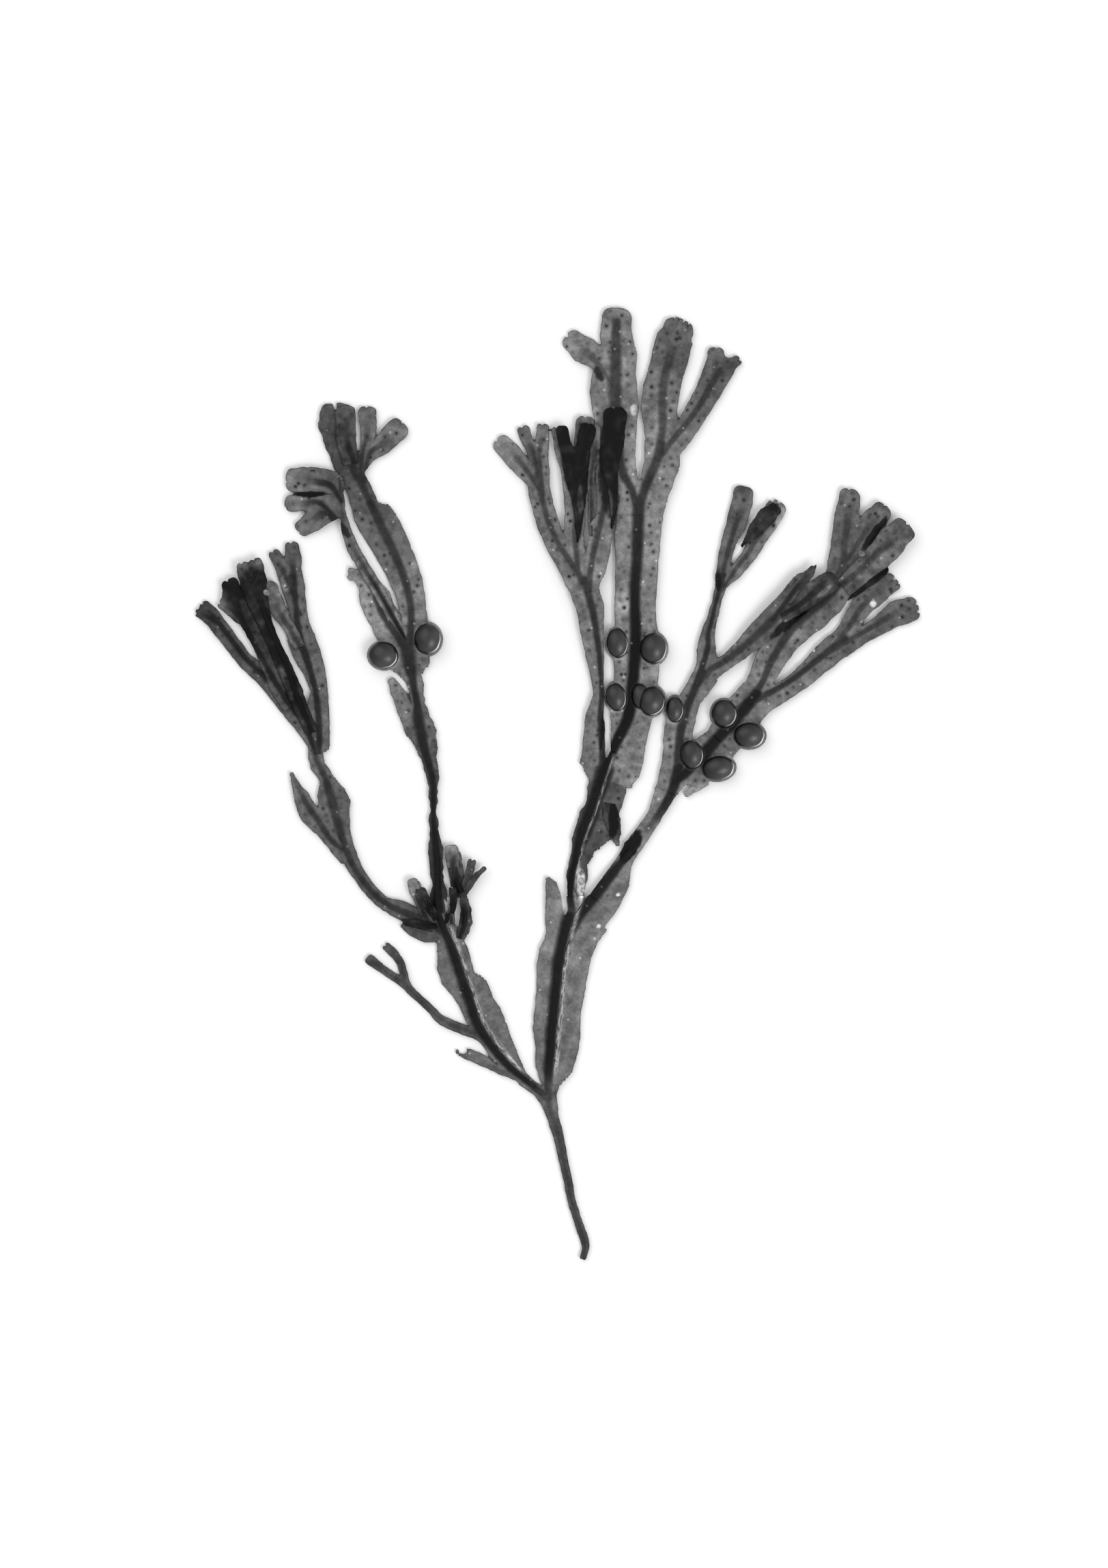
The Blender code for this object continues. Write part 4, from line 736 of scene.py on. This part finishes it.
def meshObject(name, skins):
    # the skins become one object, with their values stored on the points for the materials
    points = np.concatenate([skin["points"] for skin in skins]) / 1000
    offsets = np.cumsum([0] + [len(skin["points"]) for skin in skins])
    faces, slots = [], []
    for skin, offset in zip(skins, offsets):
        for face in (skin["faces"] + offset).tolist():
            faces.append(face[:3] if face[2] == face[3] else face)
            slots.append(skin["material"])
    data = bpy.data.meshes.new(name)
    data.from_pydata(points.tolist(), [], faces)
    data.polygons.foreach_set("material_index", slots)
    data.polygons.foreach_set("use_smooth", [True] * len(faces))
    for key in skinValues:
        values = np.concatenate([skin.get(key, np.zeros(len(skin["points"]))) for skin in skins])
        data.attributes.new(key, "FLOAT", "POINT").data.foreach_set("value", values.astype(np.float32))
    data.update()
    data.materials.append(bladeSkin)
    data.materials.append(bladderCoat)
    return addObject(name, data)


def addObject(name, data):
    made = bpy.data.objects.new(name, data)
    bpy.context.scene.collection.objects.link(made)
    return made


class Socket:
    # wraps a node's output so that shader maths reads as plain expressions
    def __init__(self, tree, output):
        self.tree, self.output = tree, output

    def maths(self, operation, *values):
        node = self.tree.nodes.new("ShaderNodeMath")
        node.operation = operation
        for slot, value in zip(node.inputs, (self, *values)):
            if isinstance(value, Socket):
                self.tree.links.new(value.output, slot)
            else:
                slot.default_value = value
        return Socket(self.tree, node.outputs[0])

    def __add__(self, other):
        return self.maths("ADD", other)

    def __sub__(self, other):
        return self.maths("SUBTRACT", other)

    def __rsub__(self, other):
        return self.maths("MULTIPLY", -1.0).maths("ADD", other)

    def __mul__(self, other):
        return self.maths("MULTIPLY", other)

    def __pow__(self, other):
        return self.maths("POWER", other)

    __radd__ = __add__
    __rmul__ = __mul__

    def atLeast(self, other):
        return self.maths("MAXIMUM", other)

    def clamp(self):
        return self.atLeast(0.0).maths("MINIMUM", 1.0)

    def rise(self, low, high):
        node = self.tree.nodes.new("ShaderNodeMapRange")
        node.interpolation_type = "SMOOTHSTEP"
        self.tree.links.new(self.output, node.inputs["Value"])
        node.inputs["From Min"].default_value = low
        node.inputs["From Max"].default_value = high
        return Socket(self.tree, node.outputs["Result"])


class Finish:
    # a Principled material and the one method that adds any node to it
    def __init__(self, name):
        self.material = bpy.data.materials.new(name)
        self.material.use_nodes = True
        self.tree = self.material.node_tree
        self.shader = self.tree.nodes["Principled BSDF"]

    def node(self, kind, settings=None, output=0, **inputs):
        node = self.tree.nodes.new(kind)
        for key, value in (settings or {}).items():
            setattr(node, key, value)
        for key, value in inputs.items():
            slot = node.inputs[key]
            if isinstance(value, Socket):
                self.tree.links.new(value.output, slot)
            else:
                slot.default_value = value
        return Socket(self.tree, node.outputs[output])

    def attribute(self, name):
        return self.node("ShaderNodeAttribute", {"attribute_name": name}, "Fac")

    def places(self):
        return self.node("ShaderNodeTexCoord", output="Object")

    def noise(self, scale, detail, rough, place=None):
        return self.node("ShaderNodeTexNoise", output="Fac", Vector=place or self.places(), Scale=scale,
                         Detail=detail, Roughness=rough)

    def cells(self, scale, randomness):
        settings = {"feature": "F1", "voronoi_dimensions": "2D"}
        return self.node("ShaderNodeTexVoronoi", settings, "Distance", Vector=self.places(), Scale=scale,
                         Randomness=randomness)

    def feed(self, name, value):
        if isinstance(value, Socket):
            self.tree.links.new(value.output, self.shader.inputs[name])
        else:
            self.shader.inputs[name].default_value = value

    def paint(self, grey, darkest):
        # a photo's grey as a linear colour
        shade = grey.atLeast(darkest) ** 2.2
        self.feed("Base Color", self.node("ShaderNodeCombineColor", Red=shade, Green=shade, Blue=shade))

    def bump(self, height, distance, strength):
        self.feed("Normal", self.node("ShaderNodeBump", output="Normal", Height=height, Distance=distance,
                                      Strength=strength))


bladeLook = {
    "thinGrey": 0.60, "toneDepth": 0.56,   # the grey of one thin layer, and how far a tone of 1 darkens it
    "ribDark": 0.64, "marginDark": 0.42, "darkest": 0.05,
    "spotScale": 290.0, "spotSize": 0.19, "spotDark": 0.68, "fleckScale": 95.0, "fleckLight": 0.3,
    "cloudScale": 130.0, "blotchScale": 430.0, "fineScale": 1500.0, "mottle": 1.05,
    "crustLight": 0.62, "haloLight": 0.14,
    "roughness": 0.46, "specular": 0.14, "bumpDepth": 0.00025, "bumpStrength": 0.5,
}


def makeBladeSkin(look):
    finish = Finish("wrackBlade")
    rib, edge, tone, halo, strip, ribSide, ribAlong = (finish.attribute(name) for name in skinValues)
    cloudy = finish.noise(look["cloudScale"], 6.0, 0.62)
    blotchy = finish.noise(look["blotchScale"], 4.0, 0.6)
    fine = finish.noise(look["fineScale"], 3.0, 0.65)
    flecks = finish.cells(look["fleckScale"], 1.0)
    fibrePlace = finish.node("ShaderNodeCombineXYZ", X=ribSide * 2.6, Y=ribAlong * 0.32)
    fibres = finish.noise(1.0, 4.0, 0.6, fibrePlace)
    spots, size = finish.cells(look["spotScale"], 0.9), look["spotSize"]
    pits = 0.75 * (1 - spots.rise(size * 0.45, size * 1.05)) + 0.4 * (1 - spots.rise(size * 0.8, size * 2.4))
    # dots are left out on ribs, at margins, on the oldest skin and in clear patches
    upFrond = finish.node("ShaderNodeSeparateXYZ", output="Y", Vector=finish.places())
    pits = pits * (1 - rib).clamp() * edge.rise(0.25, 1.0) * upFrond.rise(0.01, 0.13)
    pits = pits * blotchy.rise(0.30, 0.66) * (0.35 + 0.65 * cloudy.rise(0.38, 0.62))
    # the tone darkens the grey, partly with painted shade where layers fold or stack
    grey = look["thinGrey"] - look["toneDepth"] * tone
    grey = grey * (1 + look["mottle"] * ((cloudy - 0.5) + 0.7 * (blotchy - 0.5) + 0.35 * (fine - 0.5)))
    grey = grey * (1 - look["ribDark"] * rib * (0.80 + 0.4 * fibres))
    grey = grey * (1 - look["marginDark"] * (1 - edge.rise(0.04, 0.38)))
    grey = grey * (1 - look["spotDark"] * pits)
    crust = strip * fibres.rise(0.34, 0.56) * (0.4 + fine)
    fleck = (1 - flecks.rise(0.02, 0.05)) * (1 - tone).clamp()
    # the halo adds a painted ring of light around the bladders
    grey = grey + look["crustLight"] * crust + look["haloLight"] * halo + look["fleckLight"] * fleck
    finish.paint(grey, look["darkest"])
    finish.feed("Roughness", look["roughness"] + 0.22 * fine - 0.1 * tone)
    relief = 0.5 * fine + 0.8 * fibres * rib + 0.9 * blotchy - 1.1 * pits + 0.7 * crust
    finish.bump(relief, look["bumpDepth"], look["bumpStrength"])
    finish.feed("Specular IOR Level", look["specular"])
    return finish.material


# painted light on the bladders: greys for the shaded and lit sides, a painted highlight crescent and painted
# shade around the rim
bladderLook = {
    "shadedSideGrey": 0.10, "litSideGrey": 0.31, "rim": 0.80, "rimPaintedShade": 0.85, "darkest": 0.03,
    "cloudScale": 420.0, "fineScale": 2400.0,
    "roughness": 0.20, "specular": 0.42, "bumpDepth": 0.0002, "bumpStrength": 0.3,
}


def makeBladderCoat(look):
    finish = Finish("wrackBladder")
    shade, edge = finish.attribute("tone"), finish.attribute("edge")
    cloudy = finish.noise(look["cloudScale"], 4.0, 0.6)
    fine = finish.noise(look["fineScale"], 3.0, 0.6)
    # painted shading: darker on the upper left, lighter on the lower right
    grey = look["shadedSideGrey"] + (look["litSideGrey"] - look["shadedSideGrey"]) * shade.rise(0.0, 0.95)
    # painted shade darkens the bladder towards its rim
    grey = grey * (0.73 + 0.36 * cloudy) * (1 - look["rimPaintedShade"] * edge.rise(0.30, 0.80))
    # a painted highlight: a thin bright crescent near the rim on the lower right
    crescentHighlight = edge.rise(0.46, 0.54) * (1 - edge.rise(0.62, 0.72)) * shade.rise(0.66, 0.92)
    finish.paint(grey + look["rim"] * crescentHighlight, look["darkest"])
    finish.feed("Roughness", look["roughness"] + 0.25 * fine)
    finish.bump(0.6 * fine + 0.6 * cloudy, look["bumpDepth"], look["bumpStrength"])
    finish.feed("Specular IOR Level", look["specular"])
    return finish.material


bladeSkin = makeBladeSkin(bladeLook)
bladderCoat = makeBladderCoat(bladderLook)
print("finishes made")

# What each piece is made of: layers of blades, whole or as (name, first row, last row or None for
# the tip), bladders as x, y, half width and half length in pixels and lean in degrees, and holes as
# x, y and radius in pixels. The bladders stand in the first layer.
pieces = {
    "stipe": {"layers": [[("stem", 0, 9), ("left_wing", 0, 2), ("right_wing", 0, 2)]]},
    "left_branch": {"layers": [
        [("left_wing", 2, 13), "lower_flap", ("sprig", 0, 2)]],
        "holes": [(677, 1538, 6), (678, 1447, 2)]},
    "side_sprig": {"layers": [[("sprig", 2, None), "sprig_upper"]]},
    "crown_tuft": {"layers": [
        [("left_wing", 13, 15), ("crown_left", 0, 2), ("crown_up", 0, 3), "low_skirt"],
        ["stalk", "tuft_2"], ["tuft_1"], ["tuft_3"], ["tuft_4"], ["tuft_5"], ["tuft_6"],
        ["leaflet"], ["low_leaf"], ["pale_leaf_1", "pale_leaf_2", "pale_leaf_3"]]},
    "outer_left_arm": {"layers": [[("crown_left", 2, 15), "left_flap"]]},
    "outer_left_fan": {"layers": [
        [("crown_left", 15, 16), "left_fan_right", "left_fan_tip_1", "left_fan_tip_2", "left_fan_low",
         "left_fan_low_tip_1", "left_fan_low_tip_2"],
        ["left_fan_inner"], ["left_fan_mid", "left_fan_mid_tip"],
        ["left_fan_high", "left_fan_high_tip_1", "left_fan_high_tip_2"]],
        "holes": [(391, 868, 4.5)]},
    "inner_left_arm": {"layers": [[("crown_up", 3, 11)]]},
    "inner_left_blade": {"layers": [
        [("crown_up", 11, 19), "slit_flap", "torn_blade", ("broad_blade", 0, 3)],
        [("curled_arm", 0, 4)]],
        "bladders": [(562, 960, 22, 20, -10), (627, 936, 20, 23, 0)]},
    "curled_fan": {"layers": [[("curled_arm", 4, None), "curl_top", "curl_middle", "curl_low"]]},
    "broad_fan": {"layers": [
        [("broad_blade", 3, None), "broad_tip_1", "broad_tip_3", "broad_tip_4"], ["broad_tip_2"]]},
    "right_branch": {"layers": [
        [("right_wing", 2, 11), "upright_flap", ("middle_arm", 0, 2), ("right_arm", 0, 2)]],
        "holes": [(936, 1268, 6)]},
    "middle_arm": {"layers": [
        [("middle_arm", 2, 10), ("fan_arm", 0, 2), ("tall_blade", 0, 2)], ["torn_fold"]],
        "holes": [(852, 1290, 4), (853, 1303, 3), (851, 1278, 3)]},
    "fan_arm": {"layers": [[("fan_arm", 2, 10)]]},
    "centre_fan": {"layers": [
        [("fan_arm", 10, 11), "fan_left", "fan_left_outer", "fan_left_mid", "fan_left_inner",
         "fan_middle", "fan_middle_outer", "fan_middle_inner", "fan_right", "fan_right_inner"],
        ["fan_right_outer"], ["folded_tip_left", "folded_tip_middle"], ["folded_tip_right"]]},
    "tall_blade": {"layers": [
        [("tall_blade", 2, 14)]],
        "bladders": [(904, 942, 16, 22, 5), (957, 950, 20, 23, 0), (902, 1021, 15, 21, 10),
                     (955, 1027, 19, 22, -12), (938, 1020, 13, 19, 8)]},
    "tall_fork": {"layers": [[("tall_blade", 14, 15), ("tall_left", 0, 2), ("tall_right", 0, 3)]]},
    "tall_left_tip": {"layers": [[("tall_left", 2, None), "tall_side_lobe"]]},
    "tall_right_tip": {"layers": [
        [("tall_right", 3, 4), "tall_right_inner", "tall_right_outer", "tall_outer_tooth_left",
         "tall_outer_tooth_right"]]},
    "right_arm": {"layers": [[("right_arm", 2, 10)]]},
    "right_fork": {"layers": [
        [("right_arm", 10, 12), ("slim_blade", 0, 3), ("heel", 0, 3), "peel"]],
        "bladders": [(1013, 1105, 17, 21, 8), (1052, 1125, 24, 18, 8)]},
    "slim_blade": {"layers": [
        [("slim_blade", 3, 7), ("slim_arm", 0, 2), ("dark_arm", 0, 2)]],
        "bladders": [(988, 1039, 13, 19, 0)]},
    "slim_fan": {"layers": [
        [("slim_arm", 2, None), "slim_tip_left", "slim_tip_right"], ["slim_tip_fold"]],
        "holes": [(1131, 731, 4)]},
    "dark_fan": {"layers": [[("dark_arm", 2, None), "dark_tip_left"], ["dark_tip_right"]]},
    "heel_blade": {"layers": [
        [("heel", 3, 6), ("upper_blade", 0, 2), ("lower_blade", 0, 2)]],
        "bladders": [(1060, 1045, 19, 21, 0), (1097, 1077, 23, 19, 0)]},
    "upper_right_fan": {"layers": [
        [("upper_blade", 2, None), "upper_tip_1", "upper_tip_2"], ["upper_tip_3"]],
        "holes": [(1261, 812, 5)]},
    "lower_right_fan": {"layers": [
        [("lower_blade", 2, None), "lower_tip_1", "lower_tip_2"], ["lower_tip_fold"]]},
}
faceCount = 0
for name, piece in pieces.items():
    holes, bladders = piece.get("holes", []), piece.get("bladders", [])
    skins = []
    for layer, parts in enumerate(piece["layers"]):
        stretches = [(part, 0, None) if isinstance(part, str) else part for part in parts]
        skin = layerSkin(stretches, holes, layer, 11 + 7 * layer, bladders if layer == 0 else [])
        if skin:
            skins.append(skin)
    skins += [bladderSkin(bladder, 40 + i) for i, bladder in enumerate(bladders)]
    made = meshObject(name + "_frond", skins)
    faceCount += len(made.data.polygons)
    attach(made, "root")
    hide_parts(name)
print("fronds grown:", len(pieces), "pieces,", faceCount, "faces")

# Lengths and places in the studio are in metres
studio = {
    "floorSize": 3.0, "floorHeight": -0.0004, "floorGrey": 0.97, "floorRoughness": 0.9, "floorSpecular": 0.1,
    "worldGrey": 1.0, "worldStrength": 0.60,
    "lens": 70.0, "sensorHeight": 24.0,
    "lightTarget": (0.0, 0.1, 0.0),
    "lights": {
        "key": {"place": (0.55, -0.40, 1.1), "size": 0.55, "power": 6.4},
        "fill": {"place": (-0.6, 0.75, 1.1), "size": 1.3, "power": 6.4},
    },
}


def makeFloor():
    half, height = studio["floorSize"] / 2, studio["floorHeight"]
    corners = [(-half, -half, height), (half, -half, height), (half, half, height), (-half, half, height)]
    data = bpy.data.meshes.new("floor")
    data.from_pydata(corners, [], [(0, 1, 2, 3)])
    finish = Finish("paleFloor")
    finish.feed("Base Color", (studio["floorGrey"],) * 3 + (1.0,))
    finish.feed("Roughness", studio["floorRoughness"])
    finish.feed("Specular IOR Level", studio["floorSpecular"])
    data.materials.append(finish.material)
    addObject("floor", data)


def makeAreaLight(name, place, size, power):
    data = bpy.data.lights.new(name, "AREA")
    data.shape = "SQUARE"
    data.size = size
    data.energy = power
    light = addObject(name, data)
    light.location = place
    aim = np.array(studio["lightTarget"]) - np.array(place)
    yaw = math.atan2(aim[1], aim[0])
    tilt = math.atan2(math.hypot(aim[0], aim[1]), -aim[2])
    light.rotation_euler = (tilt, 0, yaw - math.pi / 2)


def makeCamera():
    # straight above the middle of the photo, seeing as much of the ground as it does
    centre = toMillimetres(photo["width"] / 2, photo["height"] / 2) / 1000
    seen = photo["height"] * photo["mmPerPixel"] / 1000
    data = bpy.data.cameras.new("camera")
    data.sensor_fit = "VERTICAL"
    data.sensor_height = studio["sensorHeight"]
    data.lens = studio["lens"]
    camera = addObject("camera", data)
    camera.location = (centre[0], centre[1], seen * data.lens / data.sensor_height)
    bpy.context.scene.camera = camera


def makeWorld():
    world = bpy.data.worlds.new("studio")
    world.use_nodes = True
    inputs = world.node_tree.nodes["Background"].inputs
    inputs["Color"].default_value = (studio["worldGrey"],) * 3 + (1.0,)
    inputs["Strength"].default_value = studio["worldStrength"]
    bpy.context.scene.world = world


makeFloor()
for name, light in studio["lights"].items():
    makeAreaLight(name, light["place"], light["size"], light["power"])
makeWorld()
makeCamera()
bpy.context.scene.view_settings.view_transform = "Standard"
print("studio ready")
